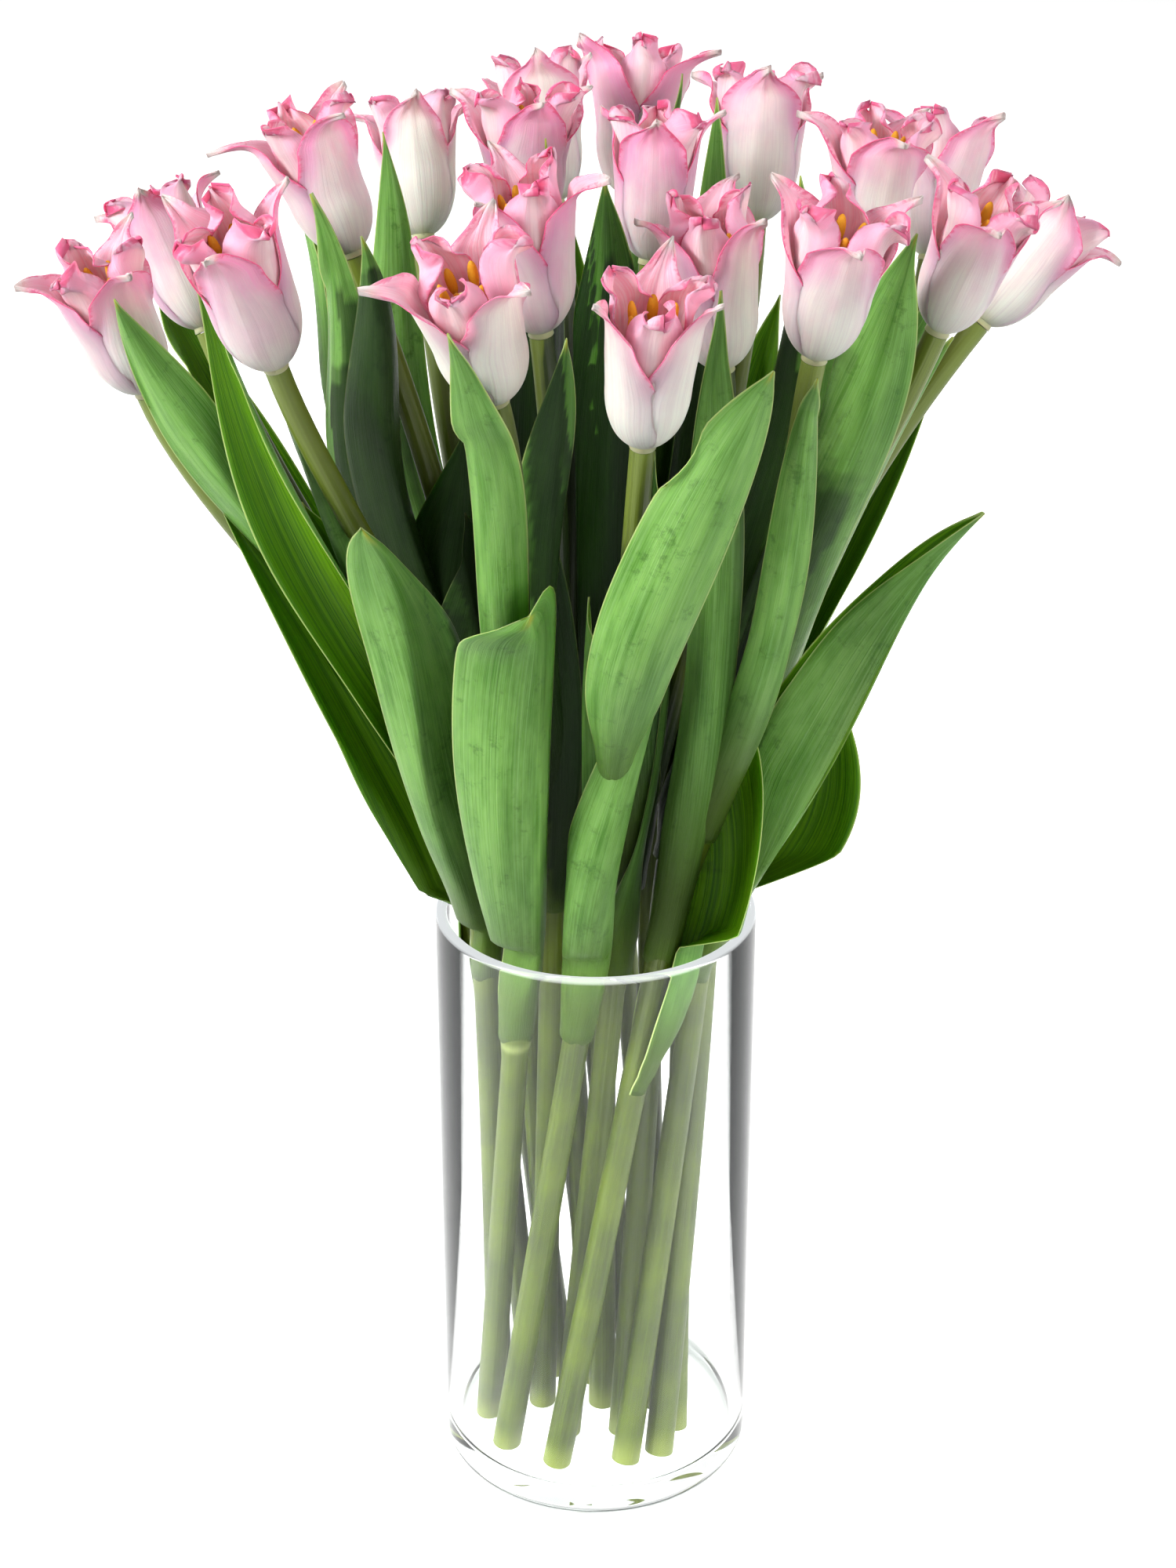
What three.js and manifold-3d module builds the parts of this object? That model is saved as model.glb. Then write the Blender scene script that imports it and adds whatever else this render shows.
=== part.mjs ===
// A bouquet of nineteen crown tulips standing in a tall clear glass cylinder vase.
// Millimetres, +Z up. The origin is the middle of the vase's underside and -Y is the bouquet's front.
// Directions in the plan are degrees from +X towards +Y.
import * as THREE from "three";
import { mergeVertices } from "three/addons/utils/BufferGeometryUtils.js";
import Module from "manifold-3d";

const wasm = await Module();
wasm.setup();

const { degToRad, lerp, smoothstep } = THREE.MathUtils;

// The vase is a straight glass cylinder with a heavy floor, a rounded foot and a rounded rim.
const VASE = { radius: 55, height: 220, wall: 4, floor: 11, footRound: 8, innerRound: 5, sides: 36 };
const RIM_ROUND = VASE.wall / 2;
const ROUND_STEPS = 2;
const BORE = VASE.radius - VASE.wall;

// Pieces that touch in life keep this gap, and joined pieces lose edges finer than the tolerance.
const SEAT_GAP = 0.3;
const JOIN_TOLERANCE = 0.06;

// The stems fan out above the rim and, below it, turn round each other down to their cut feet.
const FOOT_Z = VASE.floor + SEAT_GAP;
const NECK_Z = 214;
const NECK_SPREAD = 0.95;
const BUNCH = { turn: degToRad(-50), spread: 0.86, x: -4, y: -1 };
const STEM = { foot: 5, top: 3.7, sides: 6, steps: 6 };

// Every tulip has a cell of the bouquet to itself, and nothing of it passes the cell's walls.
const CELL = { gap: 1.3, soft: 4, passes: 3 };
const BORE_RULE = { gap: 1.4, clearAt: 223.5, flare: 2, soft: 5 };
const BLOOM_RULE = { below: 36, above: 8, clearance: 4.2 };

// A leaf clasps its stem over the sheath's angle, leans out slowly at first, and is thickest in the middle.
const LEAF = { columns: 4, thick: 1.3, sink: 0.9, lift: 2, sheath: degToRad(70), lean: 1.7, slant: 0.05 };
const LEAF_DEFAULTS = { curl: 50, full: 2.3, skew: 0, crease: 20, widest: 0.46, flare: 0, waist: 0 };

// A tepal is a bowl up to its belly, an upright side up to its shoulder, and then its end.
const TEPAL = { columns: 3, thick: 1.3, shoulder: 0.72, belly: 0.42, bowl: 1.5, lap: 0.3, foot: 0.05 };
const WALL = { waist: 0.91, mouthFrom: 0.86, opens: 1.2 };
const HORN = { leans: 0.15, flicks: 0.85, drops: 0.42, round: 4.5 };
const OUTER = {
  inset: 0, seat: 1.2, tall: 1, shoulder: 0.74, flick: 0.85, mouth: 1,
  width: 0.88, share: 0.85, horn: 0.58, arched: false, rows: [0, 0.16, 0.42, 0.72, 0.86, 1],
};
const INNER = {
  inset: 4, seat: 3, tall: 0.95, shoulder: 0.74, flick: 0.15, mouth: 0.94,
  width: 0.84, share: 0.9, horn: 0.4, arched: true, rows: [0, 0.36, 0.84, 1],
};
const RECEPTACLE = { radius: 4, top: 3.4, height: 4.6, sides: 6 };

// Heights in a bloom's heart are shares of the bloom's height.
const HEART = { base: 1.2, pistil: 2, neck: 0.5, stigma: 3.1, top: 0.63, sides: 4 };
const STAMEN = { count: 6, low: 0.9, from: 0.03, high: 5.2, to: 0.72, thick: 1.4 };

// Each tulip: rim, where its stem passes the rim (x, y); bloom, the foot of its bloom (x, y, z);
// lean, the bloom's tilt and direction; bow, how far the stem swings out halfway; tall and girth, the
// bloom's height and radius; mouth, how wide it opens at the shoulders; flick, how far the horns turn
// out; spin, the first tepal.
// Each leaf: the heights where it leaves the stem and where it ends, the direction it faces and how
// far it turns on its way up, where its middle and its tip stand in the plan, its width, and where
// given its curl, how full its end is, how far its tip is pulled sideways, the crease along its
// middle, where it is widest, how far its lip turns out, and how much its waist is drawn in.
const TULIPS = [
  { rim: [-45, 2], bloom: [-141, -10, 405], lean: [20, -141], bow: [6, 0],
    tall: 52, girth: 14, mouth: 1, flick: 0.9, spin: 190,
    leaves: [
      [262, 444, -100, 0, [-91, -30], [-144, -42], 32, 50, 2.3, 0, 15, 0.5],
      [172, 377, 150, -10, [-69, -12], [-121, -22], 50, 50, 1.8, 0, 10, 0.32],
    ] },
  { rim: [-40, 18], bloom: [-128, 42, 410], lean: [26, 146],
    tall: 50, girth: 13.5, mouth: 1, flick: 0.8, spin: 150,
    leaves: [
      [250, 430, 150, 0, [-104, 36], [-153, 67], 32],
      [200, 358, 170, -30, [-74, 14], [-97, 20], 42],
    ] },
  { rim: [-40, -20], bloom: [-95, -58, 428], lean: [24, -122], bow: [6, 0],
    tall: 57, girth: 14.4, mouth: 0.95, flick: 0.7, spin: -90,
    leaves: [
      [200, 375, -72, -8, [-40, -56], [-54, -74], 53, 75, 3.4, -17, 0, 0.7],
      [268, 424, -130, 0, [-72, -46], [-101, -30], 20, 40],
      [235, 452, 120, -75, [-79, -38], [-118, -50], 34, 75],
    ] },
  { rim: [-29, 6], bloom: [-76, 5, 445], lean: [20, 180],
    tall: 50, girth: 13.5, mouth: 1.1, flick: 1, spin: -60,
    leaves: [
      [270, 459, -70, 0, [-64, -20], [-71, -26], 34, 55, 2.3, 0, 30],
      [255, 469, -120, 0, [-77, -8], [-87, -14], 28, 45],
      [240, 471, 170, 0, [-83, 16], [-101, 32], 28, 45],
      [222, 391, -85, 0, [-48, -10], [-45, -10], 40, 40, 2.3, 3, 10, 0.6],
      [212, 366, -60, 0, [-44, -22], [-37, -24], 40, 40, 2.3, 4, 10, 0.6],
    ] },
  { rim: [-24, 30], bloom: [-58, 78, 431], lean: [22, 104],
    tall: 48, girth: 14, mouth: 1, flick: 0.7, spin: -90,
    leaves: [
      [262, 473, -95, 0, [-63, 34], [-69, 50], 27],
    ] },
  { rim: [-8, 36], bloom: [-14, 72, 444], lean: [20, 113],
    tall: 50, girth: 13.1, mouth: 1.15, flick: 0.8, spin: 30,
    leaves: [
      [240, 420, 60, 0, [-5, 59], [-7, 88], 32],
      [262, 455, 170, 0, [-20, 53], [-38, 84], 30],
    ] },
  { rim: [8, 42], bloom: [11, 112, 437], lean: [20, 76],
    tall: 54, girth: 14, mouth: 1.2, flick: 1, spin: -20,
    leaves: [
      [262, 481, -20, 0, [16, 84], [30, 104], 28, 45],
      [210, 395, 90, 0, [4, 81], [5, 122], 40],
      [225, 430, 140, 0, [-9, 79], [-10, 126], 34],
    ] },
  { rim: [-13, 16], bloom: [-22, 34, 444], lean: [6, 100],
    tall: 47, girth: 14, mouth: 1.15, flick: 0.9, spin: -80,
    leaves: [
      [270, 481, -75, 0, [-18, 8], [-13, 6], 28, 50, 2.3, 0, 25],
    ] },
  { rim: [-16, -12], bloom: [-17, -30, 430], lean: [13, -118],
    tall: 56, girth: 13.5, mouth: 1.05, flick: 0.9, spin: -10,
    leaves: [
      [255, 434, -75, 0, [-19, -40], [-12, -54], 23, 60, 3, 3, 15, 0.5],
      [225, 395, -135, 0, [-19, -23], [-26, -38], 30],
    ] },
  { rim: [-26, -35], bloom: [-29, -85, 426], lean: [24, -117], bow: [-5, 0],
    tall: 54, girth: 14.4, mouth: 1.1, flick: 1, spin: -165,
    leaves: [
      [182, 367, -82, 4, [-25, -70], [-22, -96], 46, 75, 6, 5, 0, 0.88, 7],
      [245, 456, -95, -10, [-29, -75], [-41, -119], 20, 50, 2.1, 0, 15, 0.7, 0, 0.5],
    ] },
  { rim: [3, 8], bloom: [17, 14, 440], lean: [5, 55],
    tall: 49, girth: 13.1, mouth: 1, flick: 0.9, spin: -95,
    leaves: [
      [245, 473, -110, 0, [-5, -4], [2, -10], 42],
      [262, 440, 60, 0, [16, 19], [28, 33], 30],
    ] },
  { rim: [20, 26], bloom: [53, 70, 438], lean: [16, 80],
    tall: 52, girth: 15.3, mouth: 1, flick: 0.7, spin: -90,
    leaves: [
      [270, 484, -110, 0, [31, 36], [35, 46], 24, 45],
      [215, 410, 60, 0, [40, 55], [63, 85], 38],
      [240, 450, 110, 0, [32, 60], [42, 94], 32],
    ] },
  { rim: [8, -17], bloom: [39, -18, 415], lean: [12, -121],
    tall: 58, girth: 13.5, mouth: 1.05, flick: 0.9, spin: -40,
    leaves: [
      [200, 337, -95, 0, [19, -42], [22, -50], 16, 50, 2.3, 0, 35],
      [235, 392, -120, 0, [0, -32], [9, -30], 44, 40, 2.3, 0, 10, 0.5],
    ] },
  { rim: [-3, -42], bloom: [13, -92, 415], lean: [20, -81],
    tall: 58, girth: 13.3, mouth: 1, flick: 0.6, spin: -30,
    leaves: [
      [262, 442, -100, 30, [12, -100], [49, -108], 31, 45, 3, 0, 5, 0.6, 0, 0.4],
      [188, 342, -90, 60, [4, -66], [22, -72], 34, 80],
      [225, 357, -160, 0, [-4, -58], [-6, -62], 28],
    ] },
  { rim: [22, -34], bloom: [64, -60, 431], lean: [16, -57], bow: [8, -1],
    tall: 53, girth: 14, mouth: 1.1, flick: 0.9, spin: -90,
    leaves: [
      [165, 309, 10, 50, [43, -30], [42, -10], 58, 60, 3, 0, 0, 0.5],
      [215, 452, -95, -5, [33, -50], [33, -58], 27, 60, 2.3, 0, 10, 0.5],
      [262, 432, -95, 0, [55, -58], [64, -72], 19, 50, 2.3, 0, 20, 0.5],
    ] },
  { rim: [24, 2], bloom: [87, 22, 439], lean: [3, 0],
    tall: 47, girth: 13.5, mouth: 1.15, flick: 0.9, spin: -75,
    leaves: [
      [255, 471, -130, 0, [51, 4], [62, 0], 36],
      [235, 358, -70, 0, [42, -14], [48, -16], 38, 45, 2.3, 0, 10, 0.5],
    ] },
  { rim: [36, 22], bloom: [112, 74, 425], lean: [20, 69],
    tall: 50, girth: 13.5, mouth: 1.1, flick: 0.8, spin: -50,
    leaves: [
      [262, 455, -62, 0, [89, 46], [129, 60], 24, 45],
      [205, 380, 40, 0, [71, 51], [117, 81], 40],
    ] },
  { rim: [40, -10], bloom: [104, -25, 429], lean: [21, -30], bow: [-5, 0],
    tall: 50, girth: 13.1, mouth: 1.05, flick: 0.8, spin: -100,
    leaves: [
      [195, 380, -15, 0, [76, -36], [118, -52], 72, 35, 1.8, 0, 48, 0.38],
      [262, 465, -100, -10, [61, -27], [90, -50], 42, 55, 2.6, 0, 10, 0.5],
    ] },
  { rim: [45, 5], bloom: [123, 22, 418], lean: [41, 18],
    tall: 48, girth: 13.1, mouth: 1.1, flick: 1, spin: 20,
    leaves: [
      [262, 419, -80, 0, [72, 2], [112, 2], 24, 50, 2.3, 0, 20, 0.5],
      [200, 294, 20, 60, [72, 10], [83, 18], 40, 35, 2.3, 0, 0, 0.5],
    ] },
].map(prepare);

// Gives a tulip its vectors: foot and neck of the stem in the plan, and the bloom's three axes.
function prepare(row) {
  const neck = new THREE.Vector2(...row.rim).multiplyScalar(NECK_SPREAD);
  const foot = neck.clone().rotateAround(new THREE.Vector2(), BUNCH.turn).multiplyScalar(BUNCH.spread);
  foot.add(new THREE.Vector2(BUNCH.x, BUNCH.y));
  const [tilt, direction] = row.lean.map(degToRad);
  const up = new THREE.Vector3(
    Math.sin(tilt) * Math.cos(direction),
    Math.sin(tilt) * Math.sin(direction),
    Math.cos(tilt),
  );
  const right = new THREE.Vector3(1, 0, 0).addScaledVector(up, -up.x).normalize();
  const back = new THREE.Vector3().crossVectors(up, right);
  const bow = new THREE.Vector2(...(row.bow ?? [0, 0]));
  const leaves = row.leaves.map(readLeaf);
  return { ...row, bow, leaves, neck, foot, base: new THREE.Vector3(...row.bloom), up, right, back };
}

function readLeaf([at, tip, face, turn, middle, end, width, ...given]) {
  const names = Object.keys(LEAF_DEFAULTS);
  const shape = Object.fromEntries(given.map((value, i) => [names[i], value]));
  return { at, tip, face, turn, middle, end, width, ...LEAF_DEFAULTS, ...shape };
}

// The plan position of a tulip's middle line at a height: a straight stem in the vase, a curve that
// carries on from it to the bloom, and then the bloom's own axis.
function middleAt(tulip, z) {
  const { foot, neck, base, up, bow } = tulip;
  if (z <= NECK_Z) return foot.clone().lerp(neck, (z - FOOT_Z) / (NECK_Z - FOOT_Z));
  const slope = new THREE.Vector2(up.x, up.y).divideScalar(up.z);
  if (z >= base.z) return new THREE.Vector2(base.x, base.y).addScaledVector(slope, z - base.z);
  const rise = base.z - NECK_Z;
  const t = (z - NECK_Z) / rise;
  const start = neck.clone().sub(foot).divideScalar(NECK_Z - FOOT_Z);
  return neck.clone().multiplyScalar(2 * t ** 3 - 3 * t ** 2 + 1)
    .addScaledVector(start, rise * (t ** 3 - 2 * t ** 2 + t))
    .addScaledVector(new THREE.Vector2(base.x, base.y), 3 * t ** 2 - 2 * t ** 3)
    .addScaledVector(slope, rise * (t ** 3 - t ** 2))
    .addScaledVector(bow, 16 * (t - t * t) ** 2);
}

// A number that slows down over the last stretch before its limit and never reaches it.
function easeBelow(value, limit, soft) {
  const start = limit - soft;
  return value <= start ? value : start + soft * (1 - Math.exp((start - value) / soft));
}

function keepInCell(tulip, point) {
  const own = middleAt(tulip, point.z);
  for (const other of TULIPS) {
    if (other === tulip) continue;
    const away = middleAt(other, point.z).sub(own);
    const limit = away.length() / 2 - CELL.gap;
    away.normalize();
    const reach = (point.x - own.x) * away.x + (point.y - own.y) * away.y;
    const extra = reach - easeBelow(reach, limit, Math.min(CELL.soft, limit / 2));
    point.x -= away.x * extra;
    point.y -= away.y * extra;
  }
}

function keepInBore(point) {
  const most = BORE - BORE_RULE.gap + Math.max(0, point.z - BORE_RULE.clearAt) * BORE_RULE.flare;
  const radius = Math.hypot(point.x, point.y);
  const scale = easeBelow(radius, most, BORE_RULE.soft) / radius;
  point.x *= scale;
  point.y *= scale;
}

function keepOffBloom(tulip, point) {
  const arm = point.clone().sub(tulip.base);
  const height = arm.dot(tulip.up);
  const share = smoothstep(height, -BLOOM_RULE.below, BLOOM_RULE.above);
  const least = share * (tulip.girth + BLOOM_RULE.clearance);
  arm.addScaledVector(tulip.up, -height);
  const away = arm.length();
  if (away < least) point.addScaledVector(arm, least / away - 1);
}

// Turns a list of triangles' corners into a solid, and leaves out triangles with no area.
function solidFrom(corners) {
  const loose = new THREE.BufferGeometry().setFromPoints(corners);
  const merged = mergeVertices(loose, 1e-4);
  const index = merged.index.array;
  const kept = [];
  for (let i = 0; i < index.length; i += 3) {
    const [a, b, c] = [index[i], index[i + 1], index[i + 2]];
    if (a !== b && b !== c && c !== a) kept.push(a, b, c);
  }
  const mesh = new wasm.Mesh({
    numProp: 3,
    vertProperties: merged.attributes.position.array,
    triVerts: new Uint32Array(kept),
  });
  return new wasm.Manifold(mesh);
}

// Skins a grid of rings from the first to the last and closes both ends.
function loft(rings) {
  const corners = [];
  const count = rings[0].length;
  for (let r = 0; r + 1 < rings.length; r++) {
    for (let i = 0; i < count; i++) {
      const [a, b] = [rings[r][i], rings[r][(i + 1) % count]];
      const [c, d] = [rings[r + 1][i], rings[r + 1][(i + 1) % count]];
      corners.push(a, b, d, a, d, c);
    }
  }
  const last = rings[rings.length - 1];
  for (let i = 1; i + 1 < count; i++) {
    corners.push(rings[0][0], rings[0][i + 1], rings[0][i]);
    corners.push(last[0], last[i], last[i + 1]);
  }
  return solidFrom(corners);
}

// A thin blade over u from -1 to 1 and v in rows: two faces split alike, full in the middle, that
// meet all round its rim. surface(u, v) gives a point of the middle face, and both ends are pinched.
function blade(surface, rows, columns, thick) {
  const step = 1e-3;
  const across = Array.from({ length: columns + 1 }, (_, i) => (2 * i) / columns - 1);
  const grid = rows.map((v) => across.map((column) => {
    const u = v === 0 || v === 1 ? 0 : column;
    const middle = surface(u, v);
    const alongU = surface(u + step, v).sub(surface(u - step, v));
    const alongV = surface(u, Math.min(1, v + step)).sub(surface(u, Math.max(0, v - step)));
    const normal = alongU.cross(alongV).normalize();
    const onRim = Math.abs(u) === 1 || v === 0 || v === 1;
    const half = onRim ? 0 : (thick / 2) * Math.sqrt(1 - 0.6 * u * u);
    return [middle.clone().addScaledVector(normal, half), middle.clone().addScaledVector(normal, -half)];
  }));
  const corners = [];
  for (let r = 0; r + 1 < rows.length; r++) {
    for (let c = 0; c < columns; c++) {
      const square = [grid[r][c], grid[r][c + 1], grid[r + 1][c + 1], grid[r + 1][c]];
      const turns = c < columns / 2 ? [0, 1, 2, 0, 2, 3] : [0, 1, 3, 1, 2, 3];
      turns.forEach((k) => corners.push(square[k][0]));
      [...turns].reverse().forEach((k) => corners.push(square[k][1]));
    }
  }
  return solidFrom(corners);
}

// Joins solids into one, and fills any hollow that this seals.
function join(solids) {
  const bodies = wasm.Manifold.union(solids).simplify(JOIN_TOLERANCE).decompose();
  return bodies.reduce((largest, body) => (body.volume() > largest.volume() ? body : largest));
}

// A direction in the plan.
function towards(degrees) {
  return new THREE.Vector2(Math.cos(degToRad(degrees)), Math.sin(degToRad(degrees)));
}

function stemRadius(tulip, z) {
  return lerp(STEM.foot, STEM.top, Math.min(1, (z - FOOT_Z) / (tulip.base.z - FOOT_Z)));
}

function makeStem(tulip) {
  const heights = Array.from({ length: STEM.steps + 1 }, (_, i) => lerp(FOOT_Z, NECK_Z, i / 2)).slice(0, 2);
  const above = STEM.steps - 1;
  for (let i = 0; i <= above; i++) heights.push(lerp(NECK_Z, tulip.base.z, i / above));
  const rings = heights.map((z, level) => {
    const middle = middleAt(tulip, z);
    const tangent = new THREE.Vector3(0, 0, 1);
    if (level > 0) {
      const ahead = middleAt(tulip, z + 1).sub(middleAt(tulip, z - 1)).divideScalar(2);
      tangent.set(ahead.x, ahead.y, 1).normalize();
    }
    const right = new THREE.Vector3(1, 0, 0).addScaledVector(tangent, -tangent.x).normalize();
    const back = new THREE.Vector3().crossVectors(tangent, right);
    const drop = level === heights.length - 1 ? SEAT_GAP : 0;
    return Array.from({ length: STEM.sides }, (_, i) => {
      const angle = (2 * Math.PI * i) / STEM.sides;
      return new THREE.Vector3(middle.x, middle.y, z)
        .addScaledVector(tangent, -drop)
        .addScaledVector(right, stemRadius(tulip, z) * Math.cos(angle))
        .addScaledVector(back, stemRadius(tulip, z) * Math.sin(angle));
    });
  });
  return loft(rings);
}

// A leaf's half width as a share of its greatest: a clasping foot, a long belly and a pointed tip.
function leafOutline(v, footShare, { widest, full, waist }) {
  const drawnIn = 1 - waist * Math.exp(-(((v - 0.2) / 0.14) ** 2));
  if (v < widest) return drawnIn * lerp(footShare, 1, Math.sin((Math.PI * v) / (2 * widest)) ** 1.3);
  return drawnIn * (1 - Math.min(1, (v - widest) / (1 - widest)) ** full);
}

// The rows of a leaf's blade. A leaf that crosses the rim of the vase has one row at the height from
// which it may lean over the rim.
function leafRows({ at, tip, widest }) {
  const rows = [0, 0.1, 0.6 * widest, widest, lerp(widest, 1, 0.6), 1];
  const free = (BORE_RULE.clearAt - at) / (tip - at);
  const away = (row) => Math.abs(row - free);
  const nearest = rows.slice(1, -1).reduce((best, row) => (away(row) < away(best) ? row : best));
  if (free > 0.05) rows[rows.indexOf(nearest)] = free;
  return rows;
}

// The line up the middle of a leaf: off its stem slowly, through the leaf's middle place, to its tip.
function leafSpine(tulip, { at, tip, face, middle, end }) {
  const height = (v) => lerp(at, tip, v);
  const stem = (v) => middleAt(tulip, height(v));
  const seat = (v) => {
    const lift = lerp(-LEAF.sink, LEAF.lift, smoothstep(v, 0, 0.06));
    return towards(face).multiplyScalar(stemRadius(tulip, height(v)) + lift);
  };
  const last = new THREE.Vector2(...end).sub(stem(1));
  const halfway = seat(0.5).lerp(last, 0.5 ** LEAF.lean);
  const belly = new THREE.Vector2(...middle).sub(stem(0.5)).sub(halfway);
  return (v) => {
    const off = seat(v).lerp(last, v ** LEAF.lean).addScaledVector(belly, Math.sin(Math.PI * v) ** 2);
    const place = stem(v).add(off);
    return new THREE.Vector3(place.x, place.y, height(v));
  };
}

function leafSurface(tulip, leaf) {
  const spine = leafSpine(tulip, leaf);
  return (u, v) => {
    const point = spine(v);
    const along = spine(v + 1e-3).sub(spine(Math.max(0, v - 1e-3))).normalize();
    const direction = towards(leaf.face + leaf.turn * v);
    const outward = new THREE.Vector3(direction.x, direction.y, 0);
    outward.addScaledVector(along, -outward.dot(along)).normalize();
    const side = new THREE.Vector3().crossVectors(along, outward);
    const foot = stemRadius(tulip, leaf.at) + (v > 0 ? LEAF.lift : -LEAF.sink);
    const half = (leaf.width / 2) * leafOutline(v, (foot * LEAF.sheath * 2) / leaf.width, leaf);
    const curl = lerp(LEAF.sheath, degToRad(leaf.curl), smoothstep(v, 0.05, 0.4)) * lerp(1, 0.6, v ** 3);
    const crease = degToRad(leaf.crease) * smoothstep(v, 0.15, 0.45);
    const turned = Math.abs(u) * curl + crease;
    const radius = half / curl + 1e-6;
    const sideways = Math.sign(u) * radius * (Math.sin(turned) - Math.sin(crease)) + leaf.skew * v ** 8;
    const lip = leaf.flare * smoothstep(v, 0.86, 1) ** 2;
    point.addScaledVector(outward, radius * (Math.cos(turned) - Math.cos(crease)) + lip);
    point.addScaledVector(side, sideways);
    point.z += leaf.skew * LEAF.slant * sideways * v ** 3;
    keepOffBloom(tulip, point);
    for (let pass = 0; pass < CELL.passes; pass++) {
      keepInCell(tulip, point);
      keepInBore(point);
    }
    return point;
  };
}

function makeLeafyStem(tulip) {
  const { columns, thick } = LEAF;
  const leaves = tulip.leaves.map((leaf) => blade(leafSurface(tulip, leaf), leafRows(leaf), columns, thick));
  return join([makeStem(tulip), ...leaves]);
}

// A tepal's half width as a share of its greatest: a narrow foot, square shoulders, and either a
// rounded arch or a drawn out horn.
function tepalOutline(v, { share, horn, arched }) {
  const body = lerp(TEPAL.foot, 1, Math.sin((Math.PI / 2) * Math.min(1, v / TEPAL.belly)));
  if (v < TEPAL.shoulder) return body * lerp(1, share, smoothstep(v, TEPAL.belly, TEPAL.shoulder));
  const q = (v - TEPAL.shoulder) / (1 - TEPAL.shoulder);
  if (arched) return share * Math.sqrt(1 - q ** 2.6);
  return horn * (1 - q) ** 0.75 + (share - horn) * (1 - smoothstep(q, 0, 0.55));
}

// The middle face of one tepal: a bowl, an upright side and a horn that turns out. An inner tepal
// stands closer in, and its end is arched and upright.
function tepalSurface(tulip, direction, kind) {
  const girth = tulip.girth - kind.inset;
  const tall = tulip.tall * kind.tall;
  const shoulderAt = tall * kind.shoulder;
  const bowl = TEPAL.bowl * girth;
  const horn = tall - shoulderAt;
  const flick = tulip.flick * kind.flick;
  const opening = tulip.mouth * kind.mouth - WALL.mouthFrom;
  const [c, s] = [Math.cos(degToRad(direction)), Math.sin(degToRad(direction))];
  return (u, v) => {
    const cup = (Math.PI / 2) * Math.min(1, v / TEPAL.belly);
    const rise = Math.min(1, Math.max(0, (v - TEPAL.belly) / (TEPAL.shoulder - TEPAL.belly)));
    const q = Math.max(0, (v - TEPAL.shoulder) / (1 - TEPAL.shoulder));
    const wall = girth * (WALL.waist * Math.sin(cup) + opening * rise ** WALL.opens);
    const radius = wall + horn * (HORN.leans * q + HORN.flicks * flick * q * q);
    const side = bowl * (1 - Math.cos(cup)) + (shoulderAt - bowl) * rise;
    const height = kind.seat + side + horn * (q - HORN.drops * flick * q * q);
    const half = girth * kind.width * tepalOutline(v, kind);
    const bendRadius = lerp(Math.max(radius, 3), HORN.round, smoothstep(q, 0, 0.6));
    const bend = (u * half) / bendRadius;
    const lap = TEPAL.lap * u * Math.min(1, v / TEPAL.belly) * (1 - q);
    const outward = radius + lap + bendRadius * (Math.cos(bend) - 1);
    const sideways = bendRadius * Math.sin(bend);
    const point = tulip.base.clone().addScaledVector(tulip.up, height);
    point.addScaledVector(tulip.right, outward * c - sideways * s);
    point.addScaledVector(tulip.back, outward * s + sideways * c);
    keepInCell(tulip, point);
    keepInCell(tulip, point);
    return point;
  };
}

// A ring of points round a bloom's axis, with the middle of a side towards the first tepal.
function ringAt(tulip, radius, height, sides) {
  return Array.from({ length: sides }, (_, i) => {
    const angle = degToRad(tulip.spin) + (2 * Math.PI * (i + 0.5)) / sides;
    return tulip.base.clone()
      .addScaledVector(tulip.up, height)
      .addScaledVector(tulip.right, radius * Math.cos(angle))
      .addScaledVector(tulip.back, radius * Math.sin(angle));
  });
}

function makeBloom(tulip) {
  const pieces = [];
  const { radius, top, height, sides } = RECEPTACLE;
  pieces.push(loft([ringAt(tulip, radius, 0, sides), ringAt(tulip, top, height, sides)]));
  for (let i = 0; i < 3; i++) {
    const outer = tepalSurface(tulip, tulip.spin + 120 * i, OUTER);
    const inner = tepalSurface(tulip, tulip.spin + 60 + 120 * i, INNER);
    pieces.push(blade(outer, OUTER.rows, TEPAL.columns, TEPAL.thick));
    pieces.push(blade(inner, INNER.rows, TEPAL.columns, TEPAL.thick));
  }
  return join(pieces);
}

// The pistil with its broad stigma, and the stamens round it.
function makeHeart(tulip) {
  const foot = RECEPTACLE.height + SEAT_GAP;
  const { base, pistil, neck, stigma, top, sides } = HEART;
  const column = loft([
    ringAt(tulip, base, foot, sides),
    ringAt(tulip, pistil, foot + neck * tulip.tall, sides),
    ringAt(tulip, stigma, foot + top * tulip.tall, sides),
  ]);
  const stamens = Array.from({ length: STAMEN.count }, (_, i) => {
    const angle = degToRad(tulip.spin) + (2 * Math.PI * i) / STAMEN.count;
    const ring = (radius, height, thick) => [0, 1, 2].map((k) => {
      const turn = angle + (2 * Math.PI * k) / 3;
      return tulip.base.clone()
        .addScaledVector(tulip.up, foot + height * tulip.tall)
        .addScaledVector(tulip.right, radius * Math.cos(angle) + thick * Math.cos(turn))
        .addScaledVector(tulip.back, radius * Math.sin(angle) + thick * Math.sin(turn));
    });
    return loft([ring(STAMEN.low, STAMEN.from, 0), ring(STAMEN.high, STAMEN.to, STAMEN.thick)]);
  });
  return join([column, ...stamens]);
}

// A quarter turn of a rounded edge in the vase's profile, as points from one angle to another.
function corner(x, y, radius, fromDegrees, toDegrees) {
  return Array.from({ length: ROUND_STEPS + 1 }, (_, i) => {
    const angle = degToRad(lerp(fromDegrees, toDegrees, i / ROUND_STEPS));
    return new THREE.Vector2(x + radius * Math.cos(angle), y + radius * Math.sin(angle));
  });
}

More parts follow.
